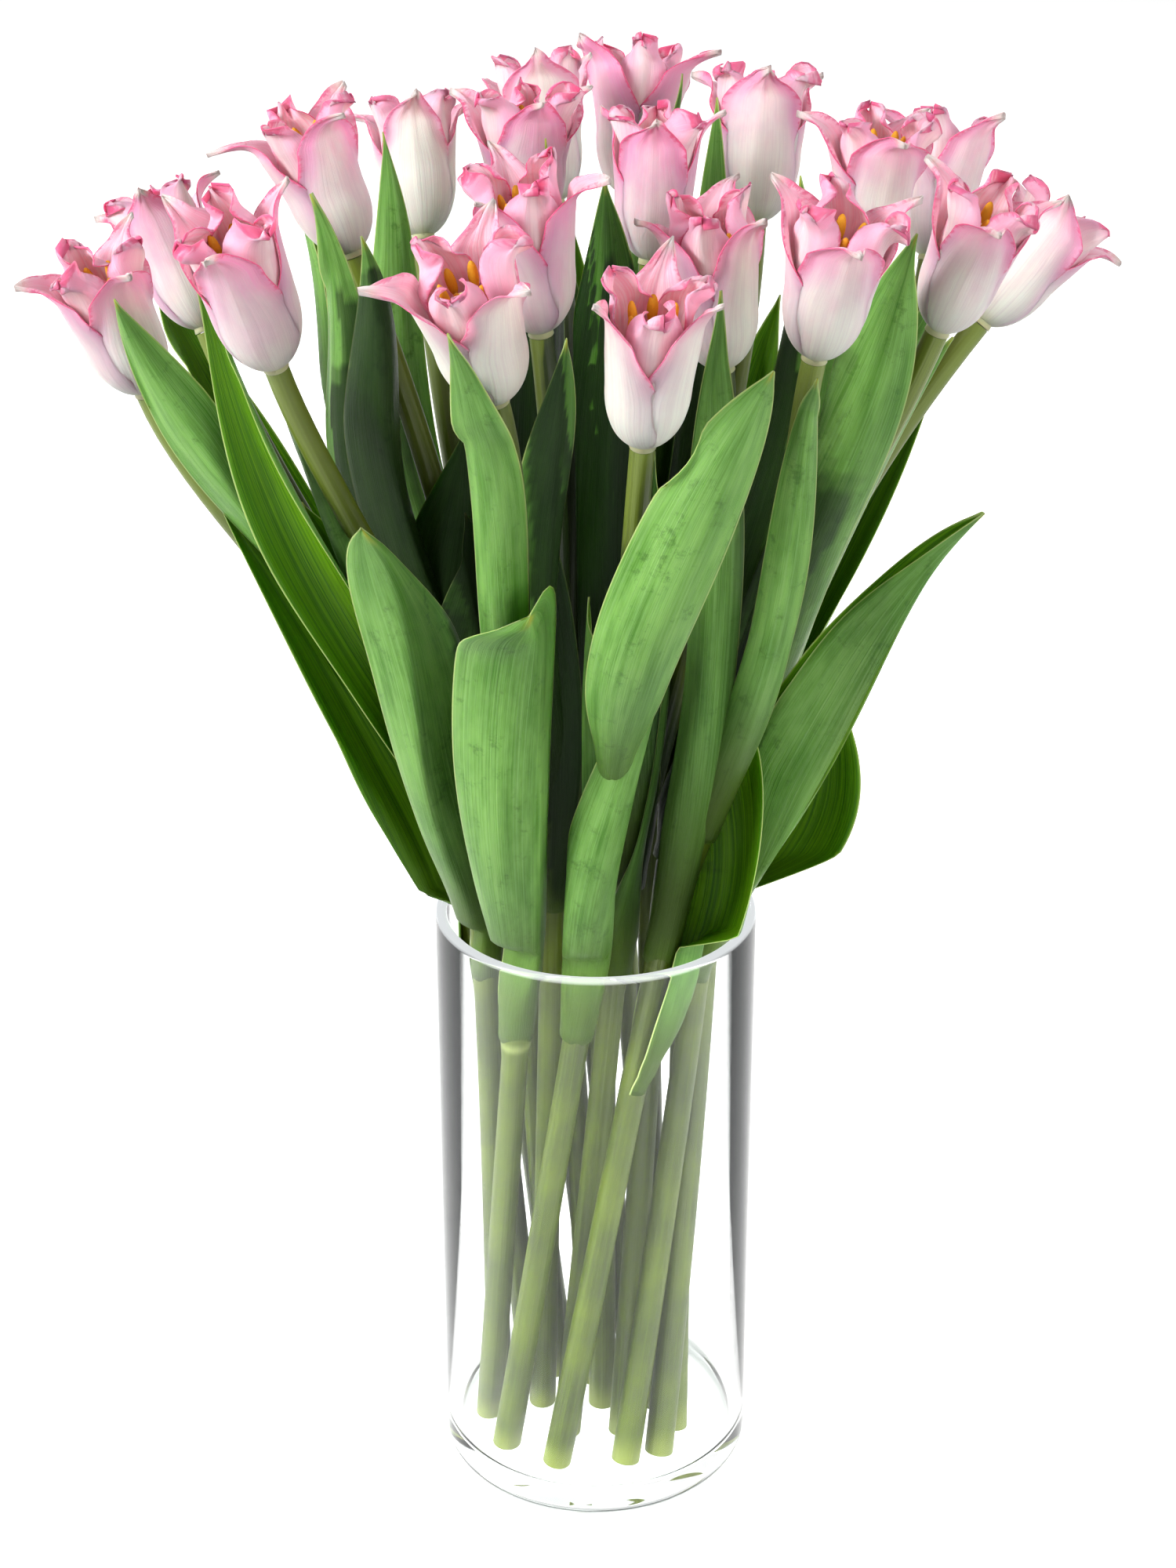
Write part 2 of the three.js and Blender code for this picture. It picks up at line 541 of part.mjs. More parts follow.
function makeVase() {
  const { radius, height, floor, footRound, innerRound, sides } = VASE;
  const profile = [
    new THREE.Vector2(0, 0),
    ...corner(radius - footRound, footRound, footRound, -90, 0),
    ...corner(radius - RIM_ROUND, height - RIM_ROUND, RIM_ROUND, 0, 180),
    ...corner(BORE - innerRound, floor + innerRound, innerRound, 0, -90),
    new THREE.Vector2(0, floor),
  ];
  const geometry = new THREE.LatheGeometry(profile, sides);
  geometry.rotateX(Math.PI / 2);
  return geometry;
}

function geometryOf(solid) {
  const mesh = solid.getMesh();
  const geometry = new THREE.BufferGeometry();
  geometry.setAttribute("position", new THREE.BufferAttribute(new Float32Array(mesh.vertProperties), 3));
  geometry.setIndex(new THREE.BufferAttribute(new Uint32Array(mesh.triVerts), 1));
  geometry.computeVertexNormals();
  return geometry;
}

const glass = new THREE.MeshStandardMaterial({ color: 0xe4efe9, roughness: 0.02, opacity: 0.3 });
glass.transparent = true;
const leafGreen = new THREE.MeshStandardMaterial({ color: 0x4f7f4a, roughness: 0.55 });
const tepalPink = new THREE.MeshStandardMaterial({ color: 0xeab4cb, roughness: 0.6, side: THREE.DoubleSide });
const heartYellow = new THREE.MeshStandardMaterial({ color: 0xd9a62a, roughness: 0.7 });

const bouquet = new THREE.Group();

function add(name, geometry, material) {
  const mesh = new THREE.Mesh(geometry, material);
  mesh.name = name;
  bouquet.add(mesh);
}

add("vase", makeVase(), glass);
TULIPS.forEach((tulip, i) => {
  const number = String(i + 1).padStart(2, "0");
  add(`leafy_stem_${number}`, geometryOf(makeLeafyStem(tulip)), leafGreen);
  add(`bloom_${number}`, geometryOf(makeBloom(tulip)), tepalPink);
  add(`heart_${number}`, geometryOf(makeHeart(tulip)), heartYellow);
});

export default bouquet;
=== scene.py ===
"""The finished surfaces of a bouquet of nineteen crown tulips in a tall clear glass cylinder vase.

Sizes are millimetres up to the moment a mesh is made, and the bouquet's front is -Y. Directions in the
plan are degrees from +X towards +Y. On a tepal or a leaf, u runs across from -1 to 1 and v from foot to tip.
"""
import math
from dataclasses import dataclass
from types import SimpleNamespace as Named

import bpy
import numpy as np
from mathutils import Matrix, Vector


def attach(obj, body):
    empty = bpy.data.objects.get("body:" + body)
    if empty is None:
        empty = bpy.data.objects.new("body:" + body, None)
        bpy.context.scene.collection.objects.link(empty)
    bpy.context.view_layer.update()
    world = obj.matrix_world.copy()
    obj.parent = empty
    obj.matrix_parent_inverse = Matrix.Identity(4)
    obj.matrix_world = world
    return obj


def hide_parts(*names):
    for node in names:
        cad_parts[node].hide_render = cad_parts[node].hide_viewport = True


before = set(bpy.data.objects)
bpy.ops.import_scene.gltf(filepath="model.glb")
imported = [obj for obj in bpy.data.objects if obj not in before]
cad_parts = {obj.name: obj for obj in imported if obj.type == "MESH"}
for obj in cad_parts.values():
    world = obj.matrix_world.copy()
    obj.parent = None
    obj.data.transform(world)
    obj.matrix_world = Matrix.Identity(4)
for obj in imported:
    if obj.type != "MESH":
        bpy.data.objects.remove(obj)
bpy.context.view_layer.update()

MM = 0.001

# The camera: where it stands, how far it looks down, and the photograph's focal length in its pixels.
CAMERA_PLACE = (-2.693, -916.13, 689.4)
CAMERA_DOWN = 24.848
PHOTO_HEIGHT = 2000
FOCAL_PIXELS = 3829.5
SENSOR = 36.0
NEAREST = 0.05

# The vase is a straight glass cylinder with a heavy floor, a rounded foot and a rounded rim.
VASE = Named(radius=55, height=220, wall=4, floor=11, foot_round=8, inner_round=5, sides=192, steps=10)
BORE = VASE.radius - VASE.wall

# A tube's ends close on a ring of this radius. TINY keeps lengths that are divided by above nought.
POLE = 0.05
TINY = 1e-6

# The stems fan out above the rim and, below it, turn round each other down to their cut feet.
SEAT_GAP = 0.3
FOOT_Z = VASE.floor + SEAT_GAP
NECK_Z = 214
NECK_SPREAD = 0.95
BUNCH = Named(turn=-50, spread=0.86, x=-4, y=-1)
STEM = Named(foot=5, top=3.7, sides=28, steps=56, ring=0.75, ring_tall=2.4)

# Every tulip has a cell of the bouquet to itself, and nothing of it passes the cell's walls.
CELL = Named(gap=1.1, soft=4, leaf_passes=3, tepal_passes=2)
BORE_RULE = Named(gap=1.2, clear_at=223.5, flare=2, soft=5)
BLOOM_RULE = Named(below=36, above=8, clearance=4.2)

# A leaf: its mesh, its thickness, its clasping foot, how it leans out, its waist and its groove. Then the
# ranges that are drawn from, in degrees, waves and mm, and the stretches of its length and of its half
# width over which each feature grows.
LEAF = Named(rows=60, columns=16, thick=1.0, rim=0.3, thin_tip=0.6, narrowest=0.3, sink=0.5, lift=1.2,
             sheath=100, flatter=0.6, swell=1.3, lean=1.7, slant=0.05, waist_at=0.2, waist_tall=0.14,
             groove=0.35, groove_wide=0.09, groove_end=0.1, ripple_shift=0.6, pale_from=25, pale_to=85)
LEAF_DRAW = Named(roll=(10, 35), waves=(1.5, 3), ripple=(0.5, 1.1))
LEAF_ALONG = dict(clasp=(0, 0.06), opening=(0.05, 0.4), roll=(0.35, 0.7), crease=(0.15, 0.45),
                  groove=(0.06, 0.3), ripple=(0.25, 0.6), flare=(0.86, 1))
LEAF_ACROSS = dict(crease=(0, 0.15), roll=(0.72, 1))

# A tepal, the same way: its cup up to the shoulder, and the horn or arch above it.
TEPAL = Named(rows=44, columns=28, thick=0.9, rim=0.35, thin_tip=0.7, narrowest=0.3, foot=0.25, belly=0.42,
              shoulder=0.72, bowl=1.5, waist=0.91, ease=0.05, opens=1.2, tightest=3, lap=0.8, pinch=0.7,
              keel=0.35, keel_wide=0.1, frill_climb=9, gather=0.5, fine_notch=0.5, fine_notches=13)
HORN = Named(leans=0.15, flicks=0.85, drops=0.42, round=4.5, taper=0.75, arch=2.6)
TEPAL_DRAW = Named(turn=(-5, 5), fold=(0.6, 1.2), twist=(-0.6, 0.6), sway=(-3.5, 3.5), waves=(1.6, 2.6),
                   frill=(4, 7), gather=(9, 12), notch=(4, 6), phase=(0, 6))
TEPAL_ALONG = dict(fold=(0.45, 0.72), crease=(0.25, 0.5), pinch=(0.12, 0.35), pinch_end=(0.4, 0.6),
                   frill=(0.5, 0.95), ripple=(0.35, 0.7), gather=(0.6, 1), keel=(0.1, 0.4))
HORN_ALONG = dict(body=(0, 0.55), round=(0, 0.6), fold_end=(0.5, 0.9), normal=(0, 0.4),
                  ripple_end=(0.6, 1), notch=(0.2, 0.9))
TEPAL_ACROSS = dict(fold=(0.62, 1), crease=(0.35, 0.6))

# What sets the outer tepals and the inner ones apart.
OUTER = Named(inset=0, seat=1.2, tall=1, shoulder=0.74, flick=(0.5, 1.2), mouth=1, width=1.18,
              share=(0.6, 0.9), horn=0.5, arch=0, fold=1.2, crease=0.25, ripple=0.5, frill=0.3,
              notch=0.6, inner=0)
INNER = Named(inset=2, seat=2.6, tall=0.92, shoulder=0.74, flick=(-0.2, 0.5), mouth=0.94, width=1.15,
              share=(0.86, 1.0), horn=0.4, arch=1, fold=-0.7, crease=0.2, ripple=0.8, frill=1.3,
              notch=1.3, inner=1)
SEEDS = Named(bloom=100, leaves=500)

# The bloom's seat on the stem, and what the tepal's material reads there: a tepal's foot.
RECEPTACLE = Named(radius=4, top=3.4, height=4.6, sides=24)
RECEPTACLE_FACTS = dict(across=0, along=0, margin=9, dice=0.5, inner=0, blush=0, inside=0)

# The heart: six stamens, each a thread with a pod, round a pistil with three lobes. Its height is a share
# of the bloom's, and the pod's sizes are shares of the anther's.
HEART = Named(count=6, ring=2.6, height=0.66, reach=6.5, anther=9)
THREAD = Named(radius=0.55, bows=1.4, rises=0.5, sides=8, steps=8)
POD = Named(wide=0.14, deep=1.3, tall=0.5, tilt=0.18, segments=12, rings=10)
PISTIL = Named(top=0.95, radius=1.6, swell=0.9, bulge=2.6, steps=12, sides=18)
LOBE = Named(count=3, out=1.5, long=2.2, wide=1.1, tall=1.2, segments=12, rings=8)
SPOT = 0.01

# The reach of the outer leaves is kept by turn and by level, up to the blooms. What lies behind it is painted
# darker, as painted shade, from GLOOM's low, in mm, to its high.
DEPTH = Named(turns=96, levels=50, low=205, high=495, soft=40)
GLOOM = Named(low=4.0, high=34.0, end=0.88)

# The studio, in metres. Each lamp has its place, its size and its power in watts.
STUDIO = Named(sky=0.3, floor_glow=0.62, reach=12.0, below=0.0004, shine=0.1)
LAMPS_FACE = (0, 0, 0.3)
LAMPS = dict(
    key=((-1.8, -0.9, 1.4), 0.9, 70),
    fill=((1.7, -1.0, 1.1), 1.4, 26),
    front=((0.2, -1.9, 0.25), 1.4, 10),
    back=((0.5, 1.5, 1.7), 1.2, 16),
)


@dataclass
class Leaf:
    """The heights where it leaves the stem and ends, the way it faces there, how far it turns on its way
    up, where its middle and its tip stand in the plan, and the shape of its blade."""

    at: float
    tip: float
    face: float
    turn: float
    middle: tuple
    end: tuple
    width: float
    curl: float = 50
    full: float = 2.3
    skew: float = 0
    crease: float = 20
    widest: float = 0.46
    flare: float = 0
    waist: float = 0


@dataclass
class Tulip:
    """One tulip: where its stem passes the rim, its bloom's foot, lean (how far and which way), height and
    radius, how wide its mouth opens and its horns flick out, its spin, how pink it is, its leaves, and the
    bow of its stem."""

    rim: tuple
    bloom: tuple
    lean: tuple
    tall: float
    girth: float
    mouth: float
    flick: float
    spin: float
    blush: float
    leaves: list
    bow: tuple = (0, 0)

    def __post_init__(self):
        self.neck = np.array(self.rim, float) * NECK_SPREAD
        turn = math.radians(BUNCH.turn)
        cosine, sine = math.cos(turn), math.sin(turn)
        turned = np.array([[cosine, -sine], [sine, cosine]]) @ self.neck
        self.foot = turned * BUNCH.spread + np.array([BUNCH.x, BUNCH.y])
        self.base = np.array(self.bloom, float)
        tilt, direction = map(math.radians, self.lean)
        level = math.sin(tilt)
        self.up = np.array([level * math.cos(direction), level * math.sin(direction), math.cos(tilt)])
        self.right = unit(np.array([1, 0, 0]) - self.up * self.up[0])
        self.back = np.cross(self.up, self.right)

    def facing(self, degrees):
        """Two directions across the bloom's axis: the one at this angle, and one a quarter turn on."""
        cosine, sine = math.cos(math.radians(degrees)), math.sin(math.radians(degrees))
        return self.right * cosine + self.back * sine, self.back * cosine - self.right * sine


def unit(vectors):
    return vectors / np.linalg.norm(vectors, axis=-1, keepdims=True)


def lerp(start, end, share):
    return start + (end - start) * share


def smooth(value, low, high):
    share = np.clip((value - low) / (high - low), 0, 1)
    return share * share * (3 - 2 * share)


def growth(value, stretches):
    """How far each named feature has grown at each row or column."""
    return Named(**{name: smooth(value, *stretch) for name, stretch in stretches.items()})


def towards(degrees):
    """Level directions in the plan, one for each angle."""
    angle = np.radians(degrees)
    return np.stack([np.cos(angle), np.sin(angle), np.zeros_like(angle)], axis=-1)


TULIPS = [
    Tulip((-45, 2), (-141, -10, 405), (20, -141), 52, 14.0, 1, 0.9, 190, 0.6,
          [Leaf(262, 444, -100, 0, (-91, -30), (-144, -42), 32, 50, 2.3, 0, 15, 0.5),
           Leaf(172, 377, 150, -10, (-69, -12), (-121, -22), 50, 50, 1.8, 0, 10, 0.32)], (6, 0)),
    Tulip((-40, 18), (-128, 42, 410), (26, 146), 50, 13.5, 1, 0.8, 150, 0.9,
          [Leaf(250, 430, 150, 0, (-104, 36), (-153, 67), 32),
           Leaf(200, 358, 170, -30, (-74, 14), (-97, 20), 42)]),
    Tulip((-40, -20), (-95, -58, 428), (24, -122), 57, 14.4, 0.95, 0.7, -90, 0.75,
          [Leaf(200, 375, -72, -8, (-40, -56), (-54, -74), 53, 75, 3.4, -17, 0, 0.7),
           Leaf(268, 424, -130, 0, (-72, -46), (-101, -30), 20, 40),
           Leaf(235, 452, 120, -75, (-79, -38), (-118, -50), 34, 75)], (6, 0)),
    Tulip((-29, 6), (-76, 5, 445), (20, 180), 50, 13.5, 1.1, 1, -60, 0.7,
          [Leaf(270, 459, -70, 0, (-64, -20), (-71, -26), 34, 55, 2.3, 0, 30),
           Leaf(255, 469, -120, 0, (-77, -8), (-87, -14), 28, 45),
           Leaf(240, 471, 170, 0, (-83, 16), (-101, 32), 28, 45),
           Leaf(222, 391, -85, 0, (-48, -10), (-45, -10), 40, 40, 2.3, 3, 10, 0.6),
           Leaf(212, 366, -60, 0, (-44, -22), (-37, -24), 40, 40, 2.3, 4, 10, 0.6)]),
    Tulip((-24, 30), (-58, 78, 431), (22, 104), 48, 14.0, 1, 0.7, -90, 0.25,
          [Leaf(262, 473, -95, 0, (-63, 34), (-69, 50), 27)]),
    Tulip((-8, 36), (-14, 72, 444), (20, 113), 50, 13.1, 1.15, 0.8, 30, 0.35,
          [Leaf(240, 420, 60, 0, (-5, 59), (-7, 88), 32),
           Leaf(262, 455, 170, 0, (-20, 53), (-38, 84), 30)]),
    Tulip((8, 42), (11, 112, 437), (20, 76), 54, 14.0, 1.2, 1, -20, 1,
          [Leaf(262, 481, -20, 0, (16, 84), (30, 104), 28, 45),
           Leaf(210, 395, 90, 0, (4, 81), (5, 122), 40),
           Leaf(225, 430, 140, 0, (-9, 79), (-10, 126), 34)]),
    Tulip((-13, 16), (-22, 34, 444), (6, 100), 47, 14.0, 1.15, 0.9, -80, 0.95,
          [Leaf(270, 481, -75, 0, (-18, 8), (-13, 6), 28, 50, 2.3, 0, 25)]),
    Tulip((-16, -12), (-17, -30, 430), (13, -118), 56, 13.5, 1.05, 0.9, -10, 0.9,
          [Leaf(255, 434, -75, 0, (-19, -40), (-12, -54), 23, 60, 3, 3, 15, 0.5),
           Leaf(225, 395, -135, 0, (-19, -23), (-26, -38), 30)]),
    Tulip((-26, -35), (-29, -85, 426), (24, -117), 54, 14.4, 1.1, 1, -165, 0.25,
          [Leaf(182, 367, -82, 4, (-25, -70), (-22, -96), 46, 75, 6, 5, 0, 0.88, 7),
           Leaf(245, 456, -95, -10, (-29, -75), (-41, -119), 20, 50, 2.1, 0, 15, 0.7, 0, 0.5)], (-5, 0)),
    Tulip((3, 8), (17, 14, 440), (5, 55), 49, 13.1, 1, 0.9, -95, 0.85,
          [Leaf(245, 473, -110, 0, (-5, -4), (2, -10), 42),
           Leaf(262, 440, 60, 0, (16, 19), (28, 33), 30)]),
    Tulip((20, 26), (53, 70, 438), (16, 80), 52, 15.3, 1, 0.7, -90, 0.6,
          [Leaf(270, 484, -110, 0, (31, 36), (35, 46), 24, 45),
           Leaf(215, 410, 60, 0, (40, 55), (63, 85), 38),
           Leaf(240, 450, 110, 0, (32, 60), (42, 94), 32)]),
    Tulip((8, -17), (39, -18, 415), (12, -121), 58, 13.5, 1.05, 0.9, -40, 0.65,
          [Leaf(200, 337, -95, 0, (19, -42), (22, -50), 16, 50, 2.3, 0, 35),
           Leaf(235, 392, -120, 0, (0, -32), (9, -30), 44, 40, 2.3, 0, 10, 0.5)]),
    Tulip((-3, -42), (13, -92, 415), (20, -81), 58, 13.3, 1, 0.6, -30, 0.35,
          [Leaf(262, 442, -100, 30, (12, -100), (49, -108), 31, 45, 3, 0, 5, 0.6, 0, 0.4),
           Leaf(188, 342, -90, 60, (4, -66), (22, -72), 34, 80),
           Leaf(225, 357, -160, 0, (-4, -58), (-6, -62), 28)]),
    Tulip((22, -34), (64, -60, 431), (16, -57), 53, 14, 1.1, 0.9, -90, 0.6,
          [Leaf(165, 309, 10, 50, (43, -30), (42, -10), 58, 60, 3, 0, 0, 0.5),
           Leaf(215, 452, -95, -5, (33, -50), (33, -58), 27, 60, 2.3, 0, 10, 0.5),
           Leaf(262, 432, -95, 0, (55, -58), (64, -72), 19, 50, 2.3, 0, 20, 0.5)], (8, -1)),
    Tulip((24, 2), (87, 22, 439), (3, 0), 47, 13.5, 1.15, 0.9, -75, 0.7,
          [Leaf(255, 471, -130, 0, (51, 4), (62, 0), 36),
           Leaf(235, 358, -70, 0, (42, -14), (48, -16), 38, 45, 2.3, 0, 10, 0.5)]),
    Tulip((36, 22), (112, 74, 425), (20, 69), 50, 13.5, 1.1, 0.8, -50, 0.7,
          [Leaf(262, 455, -62, 0, (89, 46), (129, 60), 24, 45),
           Leaf(205, 380, 40, 0, (71, 51), (117, 81), 40)]),
    Tulip((40, -10), (104, -25, 429), (21, -30), 50, 13.1, 1.05, 0.8, -100, 0.6,
          [Leaf(195, 380, -15, 0, (76, -36), (118, -52), 72, 35, 1.8, 0, 48, 0.38),
           Leaf(262, 465, -100, -10, (61, -27), (90, -50), 42, 55, 2.6, 0, 10, 0.5)], (-5, 0)),
    Tulip((45, 5), (123, 22, 418), (41, 18), 48, 13.1, 1.1, 1, 20, 0.55,
          [Leaf(262, 419, -80, 0, (72, 2), (112, 2), 24, 50, 2.3, 0, 20, 0.5),
           Leaf(200, 294, 20, 60, (72, 10), (83, 18), 40, 35, 2.3, 0, 0, 0.5)]),
]


def middle_at(tulip, z):
    """The plan position of a tulip's middle line at each height: straight in the vase, a curve that
    carries on from there to the bloom, and then the bloom's own axis."""
    z = np.asarray(z, float)[..., None]
    in_vase = lerp(tulip.foot, tulip.neck, (z - FOOT_Z) / (NECK_Z - FOOT_Z))
    slope = tulip.up[:2] / tulip.up[2]
    in_bloom = tulip.base[:2] + slope * (z - tulip.base[2])
    rise = tulip.base[2] - NECK_Z
    t = np.clip((z - NECK_Z) / rise, 0, 1)
    start = (tulip.neck - tulip.foot) / (NECK_Z - FOOT_Z)
    curve = tulip.neck * (2 * t**3 - 3 * t**2 + 1) + start * rise * (t**3 - 2 * t**2 + t)
    curve = curve + tulip.base[:2] * (3 * t**2 - 2 * t**3) + slope * rise * (t**3 - t**2)
    curve = curve + np.array(tulip.bow) * (4 * t * (1 - t)) ** 2
    return np.where(z <= NECK_Z, in_vase, np.where(z >= tulip.base[2], in_bloom, curve))


def ease_below(value, limit, soft):
    """Numbers that slow down over the last stretch before their limit and never reach it."""
    start = limit - soft
    over = np.maximum(value - start, 0)
    return np.where(value <= start, value, start + soft * (1 - np.exp(-over / soft)))


def keep_in_cell(tulip, points):
    points = points.copy()
    own = middle_at(tulip, points[..., 2])
    for other in TULIPS:
        if other is tulip:
            continue
        away = middle_at(other, points[..., 2]) - own
        length = np.linalg.norm(away, axis=-1)
        away = away / length[..., None]
        limit = length / 2 - CELL.gap
        reach = ((points[..., :2] - own) * away).sum(-1)
        extra = reach - ease_below(reach, limit, np.minimum(CELL.soft, limit / 2))
        points[..., :2] -= away * extra[..., None]
    return points


def keep_in_bore(points):
    above = np.maximum(0, points[..., 2] - BORE_RULE.clear_at)
    most = BORE - BORE_RULE.gap + above * BORE_RULE.flare
    radius = np.hypot(points[..., 0], points[..., 1]) + TINY
    scale = ease_below(radius, most, BORE_RULE.soft) / radius
    return np.concatenate([points[..., :2] * scale[..., None], points[..., 2:]], axis=-1)


def keep_off_bloom(tulip, points):
    arm = points - tulip.base
    height = arm @ tulip.up
    near = smooth(height, -BLOOM_RULE.below, BLOOM_RULE.above)
    least = near * (tulip.girth + BLOOM_RULE.clearance)
    arm = arm - height[..., None] * tulip.up
    away = np.linalg.norm(arm, axis=-1)
    push = np.where(away < least, least / np.maximum(away, TINY) - 1, 0)
    return points + arm * push[..., None]


def section(half, slope):
    """Across each row, how far a point lies to the side and outwards of the row's middle. half is the
    row's half width, and slope the angle by which the sheet has turned inwards at each column."""
    middle = slope.shape[1] // 2
    step = half / middle
    between = (slope[:, 1:] + slope[:, :-1]) / 2
    sideways, inwards = np.cos(between) * step, np.sin(between) * step
    nothing = np.zeros((slope.shape[0], 1))
    right = [np.cumsum(part[:, middle:], axis=1) for part in (sideways, inwards)]
    left = [np.cumsum(part[:, :middle][:, ::-1], axis=1)[:, ::-1] for part in (sideways, inwards)]
    side = np.concatenate([-left[0], nothing, right[0]], axis=1)
    out = np.concatenate([left[1], nothing, -right[1]], axis=1)
    return side, out


def add_thing(name, data):
    thing = bpy.data.objects.new(name, data)
    bpy.context.scene.collection.objects.link(thing)
    return thing


class Piece:
    """Gathers the closed shells of one piece, with the numbers that its material reads at each point."""

    def __init__(self):
        self.points = []
        self.faces = []
        self.facts = {}
        self.count = 0

    def add(self, points, faces, **facts):
        for name, values in facts.items():
            self.facts.setdefault(name, []).append(np.broadcast_to(values, len(points)))
        self.points.append(points)
        self.faces.append(faces + self.count)
        self.count += len(points)

    def blade(self, middle, thickness, **facts):
        """Adds a thin shell round a grid of points. The fact inside is 0 on its outer face and 1 within."""
        rows, columns = middle.shape[:2]
        along_u = np.gradient(middle, axis=1)
        along_v = np.gradient(middle, axis=0)
        normal = unit(np.cross(along_u, along_v))
        half = thickness[..., None] / 2
        outer, inner = middle + normal * half, middle - normal * half
        index = np.arange(rows * columns).reshape(rows, columns)
        front = [index[:-1, :-1], index[:-1, 1:], index[1:, 1:], index[1:, :-1]]
        front = np.stack([corner.ravel() for corner in front], axis=1)
        behind = front[:, ::-1] + rows * columns
        edge = np.concatenate([index[0, :-1], index[:-1, -1], index[-1, :0:-1], index[:0:-1, 0]])
        ahead = np.roll(edge, -1)
        rim = np.stack([ahead, edge, edge + rows * columns, ahead + rows * columns], axis=1)
        points = np.concatenate([outer.reshape(-1, 3), inner.reshape(-1, 3)])
        grids = {name: np.broadcast_to(values, (rows, columns)) for name, values in facts.items()}
        both = {name: np.tile(grid.ravel(), 2) for name, grid in grids.items()}
        both["inside"] = np.repeat([0.0, 1.0], rows * columns)
        self.add(points, np.concatenate([front, behind, rim]), **both)

    def tube(self, rings, **facts):
        """Adds rings of points joined in a tube, whose first and last rings lie within the piece."""
        rows, columns = rings.shape[:2]
        index = np.arange(rows * columns).reshape(rows, columns)
        ahead = np.roll(index, -1, axis=1)
        faces = [index[:-1], ahead[:-1], ahead[1:], index[1:]]
        faces = np.stack([corner.ravel() for corner in faces], axis=1)
        self.add(rings.reshape(-1, 3), faces, **facts)

    def build(self, name, material):
        points = np.concatenate(self.points) * MM
        faces = np.concatenate(self.faces)
        mesh = bpy.data.meshes.new(name)
        mesh.vertices.add(len(points))
        mesh.vertices.foreach_set("co", points.astype(np.float32).ravel())
        mesh.loops.add(faces.size)
        mesh.loops.foreach_set("vertex_index", faces.astype(np.int32).ravel())
        mesh.polygons.add(len(faces))
        mesh.polygons.foreach_set("loop_start", np.arange(0, faces.size, 4, dtype=np.int32))
        mesh.update(calc_edges=True)
        mesh.validate()
        mesh.shade_smooth()
        for fact, values in self.facts.items():
            attribute = mesh.attributes.new(fact, "FLOAT", "POINT")
            attribute.data.foreach_set("value", np.concatenate(values).astype(np.float32))
        mesh.materials.append(material)
        return add_thing(name, mesh)


def stem_radius(tulip, z):
    share = np.minimum(1, (z - FOOT_Z) / (tulip.base[2] - FOOT_Z))
    return lerp(STEM.foot, STEM.top, share)


def leaf_outline(v, foot, widest, full):
    """A leaf's half width as a share of its greatest: a clasping foot, a long belly and a pointed tip."""
    below = lerp(foot, 1, np.sin(np.pi / 2 * np.minimum(1, v / widest)) ** LEAF.swell)
    above = 1 - np.clip((v - widest) / (1 - widest), 0, 1) ** full
    return np.where(v < widest, below, above)


